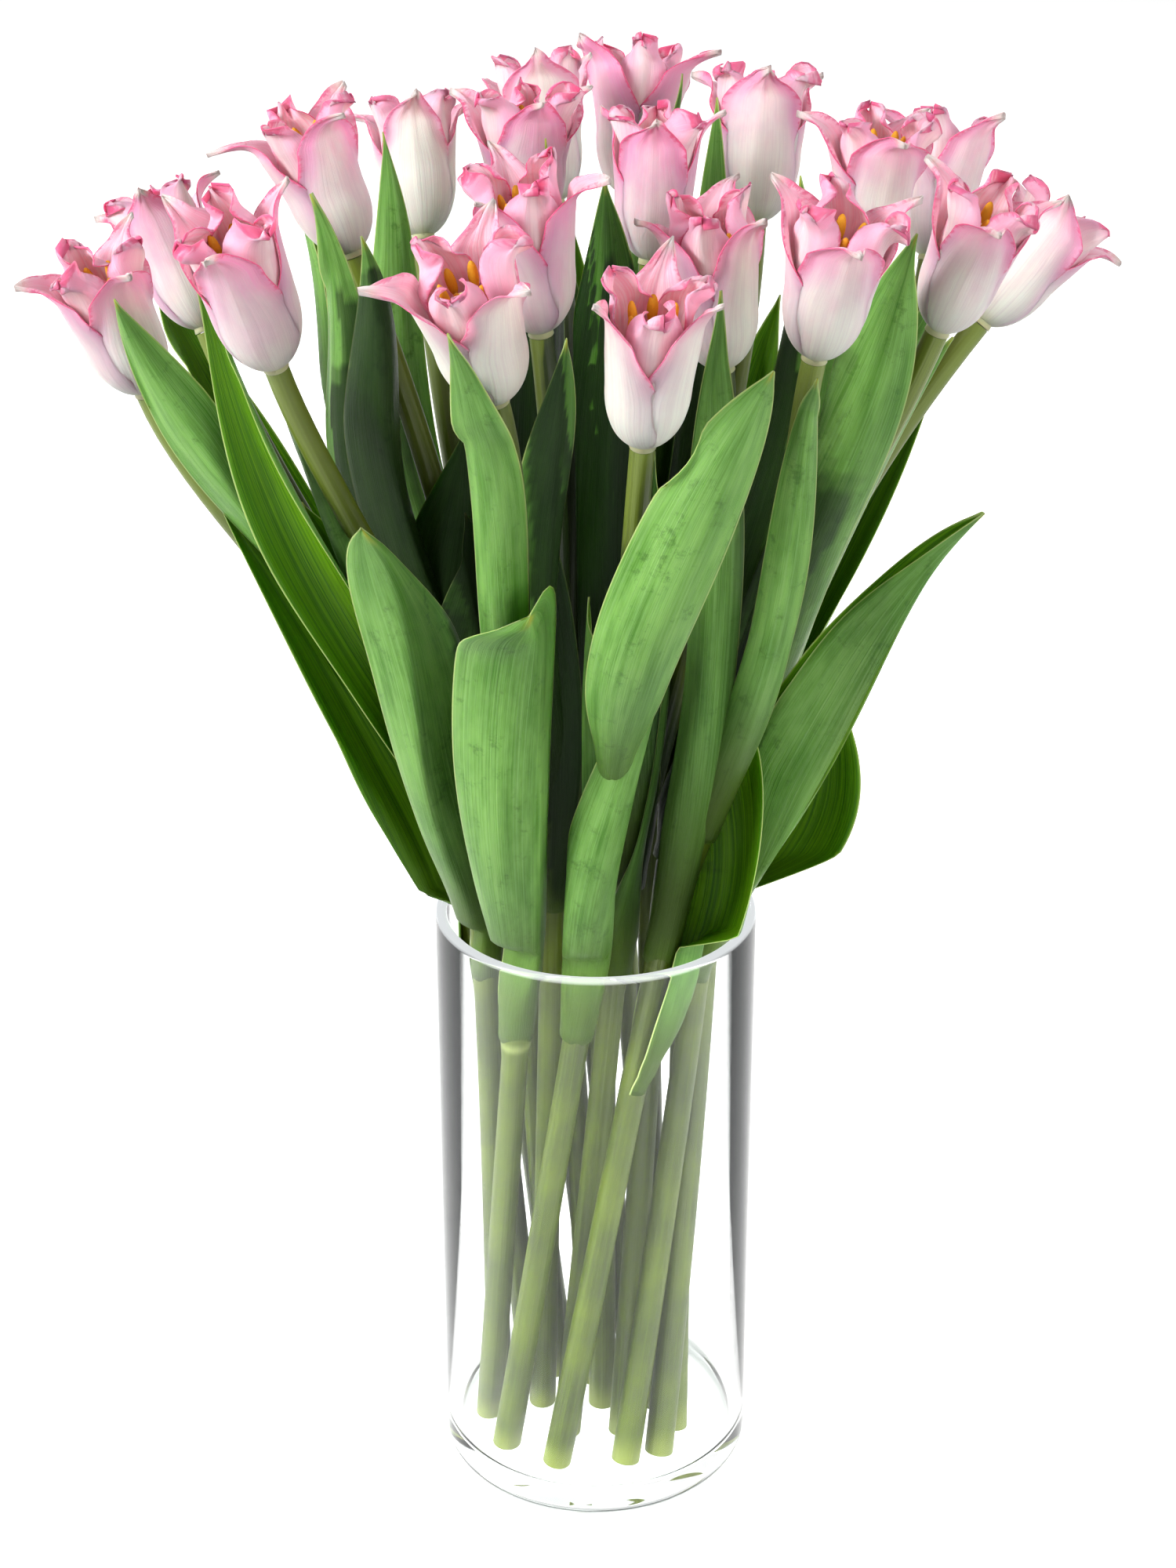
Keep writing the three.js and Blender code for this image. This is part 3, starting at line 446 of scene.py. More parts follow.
def add_leaf(piece, tulip, leaf, draw):
    v = np.linspace(0, 1, LEAF.rows + 1)[:, None]
    u = np.linspace(-1, 1, LEAF.columns + 1)[None, :]
    along, across = growth(v, LEAF_ALONG), growth(np.abs(u), LEAF_ACROSS)

    # The spine leaves the stem, passes the middle that the table gives, and ends at its tip.
    z = lerp(leaf.at, leaf.tip, v[:, 0])
    seat = stem_radius(tulip, z) + lerp(-LEAF.sink, LEAF.lift, along.clasp[:, 0])
    stem = middle_at(tulip, z)
    start = towards(leaf.face)[:2] * seat[:, None]
    bend_at = lerp(start[len(z) // 2], leaf.end - stem[-1], 0.5 ** LEAF.lean)
    belly = leaf.middle - stem[len(z) // 2] - bend_at
    off = lerp(start, leaf.end - stem[-1], v ** LEAF.lean) + belly * np.sin(np.pi * v) ** 2
    spine = np.concatenate([stem + off, z[:, None]], axis=1)
    tangent = unit(np.gradient(spine, axis=0))
    outward = towards(leaf.face + leaf.turn * v[:, 0])
    outward = unit(outward - tangent * (outward * tangent).sum(-1, keepdims=True))
    side = np.cross(tangent, outward)

    # The blade clasps the stem at its foot, opens, and rolls its edges in.
    sheath = math.radians(LEAF.sheath)
    foot = (stem_radius(tulip, leaf.at) + LEAF.lift) * sheath
    waist = 1 - leaf.waist * np.exp(-(((v - LEAF.waist_at) / LEAF.waist_tall) ** 2))
    half = leaf.width / 2 * leaf_outline(v, foot * 2 / leaf.width, leaf.widest, leaf.full)
    half = np.maximum(half * waist, LEAF.narrowest)
    bend = lerp(sheath, math.radians(leaf.curl), along.opening) * lerp(1, LEAF.flatter, v**3)
    roll = math.radians(draw.uniform(*LEAF_DRAW.roll)) * along.roll
    crease = math.radians(leaf.crease) * along.crease
    slope = u * bend + np.sign(u) * (crease * across.crease - roll * across.roll)
    sideways, out = section(half, slope)

    groove = LEAF.groove * np.exp(-((u / LEAF.groove_wide) ** 2))
    groove = groove * along.groove * smooth(1 - v, 0, LEAF.groove_end)
    waves = draw.uniform(*LEAF_DRAW.waves)
    ripple = draw.uniform(*LEAF_DRAW.ripple) * np.sin(
        2 * np.pi * (waves * v + draw.uniform()) + LEAF.ripple_shift * np.sign(u))
    out = out - groove + ripple * np.abs(u) ** 3 * along.ripple
    out = out + leaf.flare * along.flare ** 2
    sideways = sideways + leaf.skew * v**8
    points = spine[:, None] + outward[:, None] * out[..., None] + side[:, None] * sideways[..., None]
    points[..., 2] += leaf.skew * LEAF.slant * sideways * v**3
    points = keep_off_bloom(tulip, points)
    for _ in range(CELL.leaf_passes):
        points = keep_in_bore(keep_in_cell(tulip, points))

    thickness = LEAF.thick * lerp(1, LEAF.rim, np.abs(u) ** 2.5) * lerp(1, LEAF.thin_tip, v)
    margin = half * (1 - np.abs(u))
    # Painted shade: a leaf that stands near the bouquet's middle is painted darker, one further out paler.
    painted_outer_light = smooth(np.hypot(*leaf.middle), LEAF.pale_from, LEAF.pale_to)
    piece.blade(points, thickness, across=u, along=v, margin=margin, dice=draw.uniform(), pale=painted_outer_light)


def horn_share(v):
    """How far up the horn, from the shoulder to the tip, each row of a tepal is."""
    return np.clip((v - TEPAL.shoulder) / (1 - TEPAL.shoulder), 0, 1)


def tepal_outline(v, kind, share):
    """A tepal's half width as a share of its greatest: a narrow foot, a belly, and above the shoulder
    either a horn or a rounded arch."""
    body = lerp(TEPAL.foot, 1, np.sin(np.pi / 2 * np.minimum(1, v / TEPAL.belly)))
    body = body * lerp(1, share, smooth(v, TEPAL.belly, TEPAL.shoulder))
    q = horn_share(v)
    into_horn = 1 - smooth(q, *HORN_ALONG["body"])
    pointed = kind.horn * (1 - q) ** HORN.taper + (share - kind.horn) * into_horn
    rounded = share * np.sqrt(1 - q ** HORN.arch)
    return np.where(q > 0, lerp(pointed, rounded, kind.arch), body)


def wave(draw, counts, u, climb=0):
    """A wave across a tepal, whose count and start are drawn."""
    return np.sin(draw.uniform(*counts) * u + climb + draw.uniform(*TEPAL_DRAW.phase))


def add_tepal(piece, tulip, direction, kind, draw):
    v = np.linspace(0, 1, TEPAL.rows + 1)[:, None]
    u = np.linspace(-1, 1, TEPAL.columns + 1)[None, :]
    q = horn_share(v)
    along, up_horn, across = growth(v, TEPAL_ALONG), growth(q, HORN_ALONG), growth(np.abs(u), TEPAL_ACROSS)

    # The spine, as its distance from the bloom's axis and its height over the bloom's foot.
    girth = tulip.girth - kind.inset
    shoulder_at = tulip.tall * kind.tall * kind.shoulder
    bowl = TEPAL.bowl * girth
    tall = tulip.tall * kind.tall - shoulder_at
    flick = tulip.flick * draw.uniform(*kind.flick)
    opening = tulip.mouth * kind.mouth - TEPAL.waist + TEPAL.ease
    cup = np.pi / 2 * np.minimum(1, v / TEPAL.belly)
    rise = np.clip((v - TEPAL.belly) / (TEPAL.shoulder - TEPAL.belly), 0, 1)
    radius = girth * (TEPAL.waist * np.sin(cup) + opening * rise ** TEPAL.opens)
    radius = radius + tall * (HORN.leans * q + HORN.flicks * flick * q * q)
    height = bowl * (1 - np.cos(cup)) + (shoulder_at - bowl) * rise
    height = height + tall * (q - HORN.drops * flick * q * q) + kind.seat

    # Across a row the sheet follows the bloom's round; at the shoulders its edges fold over.
    half = girth * kind.width * tepal_outline(v, kind, draw.uniform(*kind.share))
    half = np.maximum(half, TEPAL.narrowest)
    bend = half / lerp(np.maximum(radius, TEPAL.tightest), HORN.round, up_horn.round)
    left, right = draw.uniform(*TEPAL_DRAW.fold), draw.uniform(*TEPAL_DRAW.fold)
    fold = np.where(u < 0, left, right) * kind.fold
    fold = fold * along.fold * (1 - up_horn.fold_end) * across.fold
    crease = kind.crease * along.crease * (1 - q) * across.crease
    slope = u * bend + np.sign(u) * (crease - fold)
    sideways, out = section(half, slope)

    # The horn bends out along the spine's own normal, sways to one side and twists.
    spine = np.concatenate([radius, height], axis=1)
    tangent = unit(np.gradient(spine, axis=0))
    normal_out = lerp(1, tangent[:, 1:], up_horn.normal)
    normal_up = lerp(0, -tangent[:, :1], up_horn.normal)
    twist = draw.uniform(*TEPAL_DRAW.twist) * q
    sideways, out = (
        sideways * np.cos(twist) - out * np.sin(twist),
        out * np.cos(twist) + sideways * np.sin(twist),
    )
    sideways = sideways + draw.uniform(*TEPAL_DRAW.sway) * q * q
    lap = TEPAL.lap * u * np.minimum(1, v / TEPAL.belly) * (1 - q)
    waves = draw.uniform(*TEPAL_DRAW.waves)
    ripple = kind.ripple * np.sin(2 * np.pi * (waves * v + draw.uniform()) + 2 * u)
    ripple = ripple * np.abs(u) ** 1.5 * along.ripple * (1 - up_horn.ripple_end)
    frill = kind.frill * wave(draw, TEPAL_DRAW.frill, u, TEPAL.frill_climb * v) * along.frill
    pinch = TEPAL.pinch * np.abs(u) ** 3 * along.pinch * (1 - along.pinch_end)
    gather = kind.frill * TEPAL.gather * wave(draw, TEPAL_DRAW.gather, u) * along.gather
    keel = TEPAL.keel * np.exp(-((u / TEPAL.keel_wide) ** 2)) * along.keel
    out = out + lap - pinch + frill + ripple + keel + gather
    notches = wave(draw, TEPAL_DRAW.notch, u)
    finer = np.sin(TEPAL.fine_notches * u + draw.uniform(*TEPAL_DRAW.phase))
    notches = notches + TEPAL.fine_notch * finer

    distance = radius + out * normal_out
    level = height + out * normal_up + kind.notch * notches * up_horn.notch
    forward, beside = tulip.facing(direction)
    points = tulip.base + tulip.up * level[..., None] + forward * distance[..., None]
    points = points + beside * sideways[..., None]
    for _ in range(CELL.tepal_passes):
        points = keep_in_cell(tulip, points)
    thickness = TEPAL.thick * lerp(1, TEPAL.rim, u * u) * lerp(1, TEPAL.thin_tip, v)
    widening = np.gradient(half[:, 0]) / np.linalg.norm(np.gradient(spine, axis=0), axis=1)
    margin = half * (1 - np.abs(u)) / np.sqrt(1 + widening[:, None] ** 2)
    piece.blade(points, thickness, across=u, along=v, margin=margin, dice=draw.uniform(),
                inner=kind.inner, blush=tulip.blush)


def ring_at(tulip, radius, height, sides):
    angle = np.linspace(0, 2 * np.pi, sides, endpoint=False)[:, None]
    return (tulip.base + tulip.up * height + tulip.right * radius * np.cos(angle)
            + tulip.back * radius * np.sin(angle))


def make_bloom(number, tulip, material):
    draw = np.random.default_rng(SEEDS.bloom + number)
    piece = Piece()
    for direction in (0, 120, 240):
        for kind, between in ((OUTER, 0), (INNER, 60)):
            turn = draw.uniform(*TEPAL_DRAW.turn)
            add_tepal(piece, tulip, tulip.spin + between + direction + turn, kind, draw)
    seat = RECEPTACLE
    profile = [(POLE, 0), (seat.radius, 0), (seat.top, seat.height), (POLE, seat.height)]
    piece.tube(np.stack([ring_at(tulip, r, h, seat.sides) for r, h in profile]), **RECEPTACLE_FACTS)
    return piece.build(f"bloom_{number:02d}", material)


def plug(tree, value, socket):
    """Links a signal or another node's output to a socket, or gives the socket a plain value."""
    value = getattr(value, "socket", value)
    if isinstance(value, bpy.types.NodeSocket):
        tree.links.new(value, socket)
    else:
        socket.default_value = value


class Nodes:
    """A tree of geometry nodes with one method that adds any node and links its sockets."""

    def __init__(self, name, **inputs):
        self.tree = bpy.data.node_groups.new(name, "GeometryNodeTree")
        for way in ("OUTPUT", "INPUT"):
            self.tree.interface.new_socket("Geometry", in_out=way, socket_type="NodeSocketGeometry")
        self.identifiers = {}
        for label, kind in inputs.items():
            socket = self.tree.interface.new_socket(label, in_out="INPUT", socket_type=f"NodeSocket{kind}")
            self.identifiers[label] = socket.identifier
        group = self.tree.nodes.new("NodeGroupInput")
        self.given = {socket.name: socket for socket in group.outputs}

    def node(self, kind, **sockets):
        node = self.tree.nodes.new("GeometryNode" + kind)
        for label, value in sockets.items():
            found = next(s for s in node.inputs if s.enabled and s.name.replace(" ", "_") == label)
            for link in value if isinstance(value, list) else [value]:
                plug(self.tree, link, found)
        return node.outputs[0]

    def maths(self, operation, *values):
        node = self.tree.nodes.new("ShaderNodeMath")
        node.operation = operation
        for socket, value in zip(node.inputs, values):
            plug(self.tree, value, socket)
        return node.outputs[0]

    def times(self, value, factor):
        return self.maths("MULTIPLY", value, factor)

    def vector(self, *values):
        node = self.tree.nodes.new("ShaderNodeCombineXYZ")
        for socket, value in zip(node.inputs, values):
            plug(self.tree, value, socket)
        return node.outputs[0]

    def store(self, geometry, name, value):
        return self.node("StoreNamedAttribute", Geometry=geometry, Name=name, Value=value)

    def finish(self, geometry, material):
        real = self.node("RealizeInstances", Geometry=geometry)
        shown = self.node("SetMaterial", Geometry=real, Material=material)
        out = self.tree.nodes.new("NodeGroupOutput")
        self.tree.links.new(shown, out.inputs[0])

    def apply(self, thing, **values):
        """Runs the tree on an object and gives the object the plain mesh that comes out."""
        modifier = thing.modifiers.new("shape", "NODES")
        modifier.node_group = self.tree
        for label, value in values.items():
            modifier[self.identifiers[label]] = value
        made = bpy.data.meshes.new_from_object(thing.evaluated_get(bpy.context.evaluated_depsgraph_get()))
        thing.modifiers.clear()
        thing.data = made
        return thing


def stem_tree(material):
    """Sweeps a round section along the middle line. Points carry swell, the rings where leaves grew."""
    nodes = Nodes("stem sweep", Foot_Radius="Float", Top_Radius="Float", Sides="Int")
    given = nodes.given
    along = nodes.node("SplineParameter")
    line = nodes.store(nodes.node("MeshToCurve", Mesh=given["Geometry"]), "along", along)
    ring = nodes.node("CurvePrimitiveCircle", Resolution=given["Sides"], Radius=1.0)
    ring = nodes.store(ring, "around", nodes.node("SplineParameter"))
    thinning = nodes.maths("SUBTRACT", given["Top_Radius"], given["Foot_Radius"])
    radius = nodes.maths("ADD", given["Foot_Radius"], nodes.times(thinning, along))
    swell = nodes.node("InputNamedAttribute", Name="swell")
    tube = nodes.node("CurveToMesh", Curve=line, Profile_Curve=ring, Scale=nodes.maths("ADD", radius, swell),
                      Fill_Caps=True)
    nodes.finish(nodes.node("SetShadeSmooth", Geometry=tube), material)
    return nodes


def polyline(name, points, **facts):
    mesh = bpy.data.meshes.new(name)
    mesh.from_pydata([tuple(p) for p in points * MM], [(i, i + 1) for i in range(len(points) - 1)], [])
    for fact, values in facts.items():
        mesh.attributes.new(fact, "FLOAT", "POINT").data.foreach_set("value", values.astype(np.float32))
    return add_thing(name, mesh)


def make_leafy_stem(number, tulip, sweep, leaf_material):
    draw = np.random.default_rng(SEEDS.leaves + number)
    z = np.linspace(FOOT_Z, tulip.base[2], STEM.steps + 1)
    middle = np.concatenate([middle_at(tulip, z), z[:, None]], axis=1)
    middle[-1] -= tulip.up * SEAT_GAP
    swell = sum(np.exp(-(((z - leaf.at) / STEM.ring_tall) ** 2)) for leaf in tulip.leaves)
    stem = polyline(f"stem_{number:02d}", middle, swell=swell * STEM.ring * MM, ring=swell)
    sweep.apply(stem, Foot_Radius=STEM.foot * MM, Top_Radius=STEM.top * MM, Sides=STEM.sides)
    piece = Piece()
    for leaf in tulip.leaves:
        add_leaf(piece, tulip, leaf, draw)
    leaves = piece.build(f"leafy_stem_{number:02d}", leaf_material)
    with bpy.context.temp_override(active_object=leaves, selected_editable_objects=[leaves, stem]):
        bpy.ops.object.join()
    return leaves


def mark_depth(things):
    """Stores at each point how far, in mm, it lies behind the leaves that hide it from outside, which the
    materials turn into painted shade.
    """
    places = []
    for thing in things:
        place = np.empty(len(thing.data.vertices) * 3, np.float32)
        thing.data.vertices.foreach_get("co", place)
        places.append(place.reshape(-1, 3) / MM)
    turns, levels, low, high = DEPTH.turns, DEPTH.levels, DEPTH.low, DEPTH.high
    reach = np.zeros((turns, levels))

    def cell(place):
        turn = (np.arctan2(place[:, 1], place[:, 0]) / (2 * np.pi) * turns).astype(int) % turns
        level = np.clip((place[:, 2] - low) / (high - low) * levels, 0, levels - 1).astype(int)
        return turn, level, np.hypot(place[:, 0], place[:, 1])

    for place in places:
        turn, level, radius = cell(place)
        np.maximum.at(reach, (turn, level), radius)
    reach = sum(np.roll(reach, step, axis=0) for step in (-1, 0, 1)) / 3
    reach[:, 1:-1] = (reach[:, :-2] + reach[:, 1:-1] + reach[:, 2:]) / 3
    for thing, place in zip(things, places):
        turn, level, radius = cell(place)
        depth = np.maximum(0, reach[turn, level] - radius) * smooth(place[:, 2], low, low + DEPTH.soft)
        depth_fact = thing.data.attributes.new("depth", "FLOAT", "POINT")
        depth_fact.data.foreach_set("value", depth.astype(np.float32))


def heart_tree(material):
    """The pistil with its stigma's lobes, and a ring of stamens that lean outwards."""
    nodes = Nodes("heart", Count="Int", Ring="Float", Height="Float", Reach="Float", Anther="Float")
    given, times, vector = nodes.given, nodes.times, nodes.vector

    def spread(count, thing):
        """Copies round the axis, each turned to its own side."""
        spots = nodes.node("MeshCircle", Vertices=count, Radius=SPOT * MM)
        turn = nodes.maths("DIVIDE", times(nodes.node("InputIndex"), 2 * math.pi), count)
        return nodes.node("InstanceOnPoints", Points=spots, Instance=thing, Rotation=vector(0.0, 0.0, turn))

    start = vector(given["Ring"], 0.0, 0.0)
    bend = vector(times(given["Ring"], THREAD.bows), 0.0, times(given["Height"], THREAD.rises))
    end = vector(given["Reach"], 0.0, given["Height"])
    line = nodes.node("CurvePrimitiveBezierSegment", Resolution=THREAD.steps, Start=start, Start_Handle=bend,
                      End_Handle=bend, End=end)
    thread = nodes.node("CurvePrimitiveCircle", Resolution=THREAD.sides, Radius=THREAD.radius * MM)
    thread = nodes.node("CurveToMesh", Curve=line, Profile_Curve=thread, Fill_Caps=True)
    pod = nodes.node("MeshUVSphere", Segments=POD.segments, Rings=POD.rings, Radius=1.0)
    wide, tall = times(given["Anther"], POD.wide), times(given["Anther"], POD.tall)
    pod = nodes.node("Transform", Geometry=pod, Translation=end, Rotation=(0, POD.tilt, 0),
                     Scale=vector(wide, times(wide, POD.deep), tall))
    stamen = [nodes.store(thread, "part", 0.0), nodes.store(pod, "part", 1.0)]
    stamens = spread(given["Count"], nodes.node("JoinGeometry", Geometry=stamen))

    top = times(given["Height"], PISTIL.top)
    column = nodes.node("CurvePrimitiveLine", Start=(0, 0, 0), End=vector(0.0, 0.0, top))
    column = nodes.node("ResampleCurve", Curve=column, Count=PISTIL.steps)
    ring = nodes.node("CurvePrimitiveCircle", Resolution=PISTIL.sides, Radius=1.0)
    swell = nodes.maths("SINE", times(nodes.node("SplineParameter"), PISTIL.bulge))
    radius = nodes.maths("ADD", times(swell, PISTIL.swell * MM), PISTIL.radius * MM)
    pistil = nodes.node("CurveToMesh", Curve=column, Profile_Curve=ring, Fill_Caps=True, Scale=radius)
    pistil = nodes.store(pistil, "part", 2.0)
    lobe = nodes.node("MeshUVSphere", Segments=LOBE.segments, Rings=LOBE.rings, Radius=1.0)
    lobe = nodes.node("Transform", Geometry=lobe, Translation=vector(LOBE.out * MM, 0.0, top),
                      Scale=(LOBE.long * MM, LOBE.wide * MM, LOBE.tall * MM))
    stigma = nodes.node("RealizeInstances", Geometry=spread(LOBE.count, lobe))
    stigma = nodes.store(stigma, "part", 3.0)
    whole = nodes.node("JoinGeometry", Geometry=[stamens, pistil, stigma])
    nodes.finish(nodes.node("SetShadeSmooth", Geometry=whole), material)
    return nodes


def make_heart(number, tulip, tree):
    thing = add_thing(f"heart_{number:02d}", bpy.data.meshes.new("heart"))
    tree.apply(thing, Count=HEART.count, Ring=HEART.ring * MM, Height=HEART.height * tulip.tall * MM,
               Reach=HEART.reach * MM, Anther=HEART.anther * MM)
    place = np.eye(4)
    place[:3, 0], place[:3, 1] = tulip.facing(tulip.spin)
    place[:3, 2] = tulip.up
    place[:3, 3] = (tulip.base + tulip.up * (RECEPTACLE.height + SEAT_GAP)) * MM
    thing.data.transform(Matrix(place))
    return thing


def corner(x, y, radius, start, end):
    """A quarter turn of a rounded edge in the vase's profile."""
    angle = np.radians(np.linspace(start, end, VASE.steps + 1))
    return [(x + radius * math.cos(a), y + radius * math.sin(a)) for a in angle]


def make_vase(material):
    radius, height, wall, floor = VASE.radius, VASE.height, VASE.wall, VASE.floor
    foot, inner = VASE.foot_round, VASE.inner_round
    profile = [
        (POLE, 0),
        *corner(radius - foot, foot, foot, -90, 0),
        *corner(radius - wall / 2, height - wall / 2, wall / 2, 0, 180),
        *corner(BORE - inner, floor + inner, inner, 0, -90),
        (POLE, floor),
    ]
    angle = np.linspace(0, 2 * np.pi, VASE.sides, endpoint=False)
    rings = np.array([[(r * math.cos(a), r * math.sin(a), z) for a in angle] for r, z in profile])
    z = rings[..., 2].ravel()
    # Where the rim rounds over, the glass gets painted light.
    rim = smooth(z, height - wall / 2, height - wall / 4)
    # Where the glass bends at its foot and inner floor, it gets painted shade.
    bend = sum(np.sin(np.pi * np.clip(share, 0, 1)) for share in (z / foot, (z - floor) / inner))
    piece = Piece()
    piece.tube(rings, rim=rim, bend=bend)
    return piece.build("vase", material)


def srgb(red, green, blue):
    """A colour given as it looks on a screen, 0 to 255, as the linear colour that a shader works with."""
    linear = [((c / 255 + 0.055) / 1.055) ** 2.4 if c > 10 else c / 255 / 12.92 for c in (red, green, blue)]
    return (*linear, 1)


def colours(**shades):
    return Named(**{name: srgb(*shade) for name, shade in shades.items()})


TEPAL_COLOURS = colours(
    white=(252, 242, 226), pink=(230, 150, 188), inner_pink=(244, 176, 198), blaze=(246, 226, 220),
    vein=(222, 186, 194), throat=(248, 226, 176), lining=(250, 178, 194), lining_vein=(253, 222, 226),
    glow=(240, 132, 170), edge=(226, 70, 120), tip=(244, 232, 218), foot=(198, 198, 120))
LEAF_COLOURS = colours(
    deep=(32, 70, 6), deep_wax=(64, 114, 26), pale=(76, 132, 36), pale_wax=(132, 184, 90),
    vein=(152, 198, 118), hair=(44, 84, 14), rubbed=(48, 92, 26), lining=(46, 98, 2),
    lining_vein=(108, 160, 16), foot=(62, 84, 16), margin=(186, 208, 132), tip=(170, 172, 64))
STEM_COLOURS = colours(
    dark=(46, 60, 0), olive=(78, 94, 4), streak=(94, 114, 22), top=(132, 150, 52),
    ring=(140, 154, 92), cut=(116, 130, 48))
HEART_COLOURS = colours(
    thread=(236, 214, 120), pod=(232, 164, 26), pistil=(206, 214, 146), lobe=(240, 232, 176))
# Painted shade: the dark green painted on what lies behind the outer leaves.
PAINTED_SHADE = srgb(8, 30, 2)
# The glass: clear, greyer where it bends as painted shade, a faint painted glow all over and a bright painted
# glow on the rim.
GLASS_COLOURS = Named(
    clear=(0.985, 0.995, 0.99, 1), bend=(0.3, 0.34, 0.32, 1),
    glow=(0.002, 0.0024, 0.0024, 1), rim_glow=(0.72, 0.75, 0.76, 1))


class Signal:
    """A number that changes over a surface: sums and products of signals add the nodes for them."""

    def __init__(self, shader, socket):
        self.shader = shader
        self.socket = socket

    def maths(self, operation, other=0.0, swap=False):
        first, second = (other, self) if swap else (self, other)
        return self.shader.node("ShaderNodeMath", {"operation": operation}, {0: first, 1: second})

    def __add__(self, other):
        return self.maths("ADD", other)

    def __sub__(self, other):
        return self.maths("SUBTRACT", other)

    def __rsub__(self, other):
        return self.maths("SUBTRACT", other, swap=True)

    def __mul__(self, other):
        return self.maths("MULTIPLY", other)

    __radd__ = __add__
    __rmul__ = __mul__

    def size(self):
        return self.maths("ABSOLUTE")

    def fade(self, low, high, start=0.0, end=1.0):
        """Goes smoothly from start at low to end at high."""
        settings = {"interpolation_type": "SMOOTHSTEP"}
        return self.shader.node("ShaderNodeMapRange", settings, {0: self, 1: low, 2: high, 3: start, 4: end})


class Shader:
    """A material whose nodes are written as expressions."""

    def __init__(self, name, **constants):
        self.material = bpy.data.materials.new(name)
        self.material.use_nodes = True
        self.tree = self.material.node_tree
        self.surface = self.tree.nodes["Principled BSDF"]
        for label, value in constants.items():
            self.surface.inputs[label.replace("_", " ")].default_value = value

    def node(self, kind, settings, sockets, output=0):
        node = self.tree.nodes.new(kind)
        for key, value in settings.items():
            setattr(node, key, value)
        for key, value in sockets.items():
            plug(self.tree, value, node.inputs[key])
        return Signal(self, node.outputs[output])

    def facts(self, *names):
        """The numbers that the piece's mesh carries under these names."""
        return [self.node("ShaderNodeAttribute", {"attribute_name": name}, {}, "Fac") for name in names]

    def mix(self, share, first, second):
        return self.node("ShaderNodeMix", {"data_type": "RGBA"}, {0: share, 6: first, 7: second}, 2)

    def point(self, x, y, z=0.0):
        return self.node("ShaderNodeCombineXYZ", {}, {0: x, 1: y, 2: z})

    def place(self):
        return self.node("ShaderNodeTexCoord", {}, {}, "Object")

    def noise(self, where, scale, detail=2.0, rough=0.5):
        sockets = {"Vector": where, "Scale": scale, "Detail": detail, "Roughness": rough}
        return self.node("ShaderNodeTexNoise", {}, sockets)

    def grain(self, across, along, seed, streaks, rows, detail, rough):
        """Noise that is stretched along a sheet and differs from one sheet to the next."""
        return self.noise(self.point(across * streaks, along * rows, seed), 1.0, detail, rough)

    def shade(self, colour):
        """Paints shade into the colour of what lies behind the leaves that hide it."""
        (depth,) = self.facts("depth")
        return self.mix(depth.fade(GLOOM.low, GLOOM.high, 0.0, GLOOM.end), colour, PAINTED_SHADE)

    def bump(self, height, distance, strength=1.0):
        return self.node("ShaderNodeBump", {}, {"Height": height, "Distance": distance, "Strength": strength})

    def set(self, **links):
        for label, signal in links.items():
            plug(self.tree, signal, self.surface.inputs[label.replace("_", " ")])
        return self.material


def tepal_material():
    shader = Shader("tepal", Subsurface_Weight=0.6, Subsurface_Radius=(1, 0.6, 0.6), Subsurface_Scale=0.003,
                    Roughness=0.5, Sheen_Weight=0.08)
    across, along, margin, inside, inner = shader.facts("across", "along", "margin", "inside", "inner")
    blush, dice = shader.facts("blush", "dice")
    seed = dice * 37.0
    veins = shader.grain(across, along, seed, streaks=24.0, rows=1.6, detail=4.0, rough=0.65)
    barbs = shader.grain(across, along, seed, streaks=3.0, rows=46.0, detail=2.0, rough=0.6)
    clouds = shader.grain(across, along, seed, streaks=1.4, rows=2.4, detail=3.0, rough=0.55)
    paint = TEPAL_COLOURS

    # The outer face: white below, flushed with pink towards the edges and the tip.
    side = across.size()
    flush = along + side * side * 0.7 + clouds * 1.2 + blush * 0.8
    outside = shader.mix(flush.fade(1.1, 2.5), paint.white, paint.pink)
    blaze = 1 - (side * 1.6 + veins * 0.9 - clouds * 0.5).fade(0.2, 0.9)
    outside = shader.mix(inner * along.fade(0.3, 0.7) * 0.75, outside, paint.inner_pink)
    outside = shader.mix(inner * blaze * 0.6, outside, paint.blaze)
    outside = shader.mix(veins.fade(0.42, 0.62, 0.0, 0.26), outside, paint.vein)

    # The inner face, and on both the bright edge with its barbs, the pale tip and the green foot.
    # The inner face's throat and lining are its own colours, brightened with painted light that stands for
    # light shining through the tepal.
    within = shader.mix(along.fade(0.1, 0.7), paint.throat, paint.lining)
    within = shader.mix(veins.fade(0.35, 0.6, 0.0, 0.6), within, paint.lining_vein)
    colour = shader.mix(inside, outside, within)
    reach = barbs.fade(0.35, 0.8, 0.4, 2.6) * along.fade(0.2, 0.6, 0.3, 1.0)
    edge = 1 - margin.maths("DIVIDE", reach).fade(0.0, 1.0)
    edge = edge * along.fade(0.25, 0.5) * blush.fade(0.0, 1.0, 0.7, 1.0)
    glow = (1 - margin.fade(0.0, 6.0)) * along.fade(0.3, 0.6) * 0.45
    colour = shader.mix(glow, colour, paint.glow)
    colour = shader.mix(edge, colour, paint.edge)
    tip = along.fade(0.9, 0.99) * (1 - inner)
    colour = shader.mix(tip * 0.7, colour, paint.tip)
    foot = 1 - along.fade(0.02, 0.2)
    colour = shader.mix(foot * 0.7, colour, paint.foot)
    relief = veins * 0.6 + barbs * 0.4 * side.fade(0.6, 1.0)
    return shader.set(Base_Color=colour, Normal=shader.bump(relief, 0.0005, 0.7))


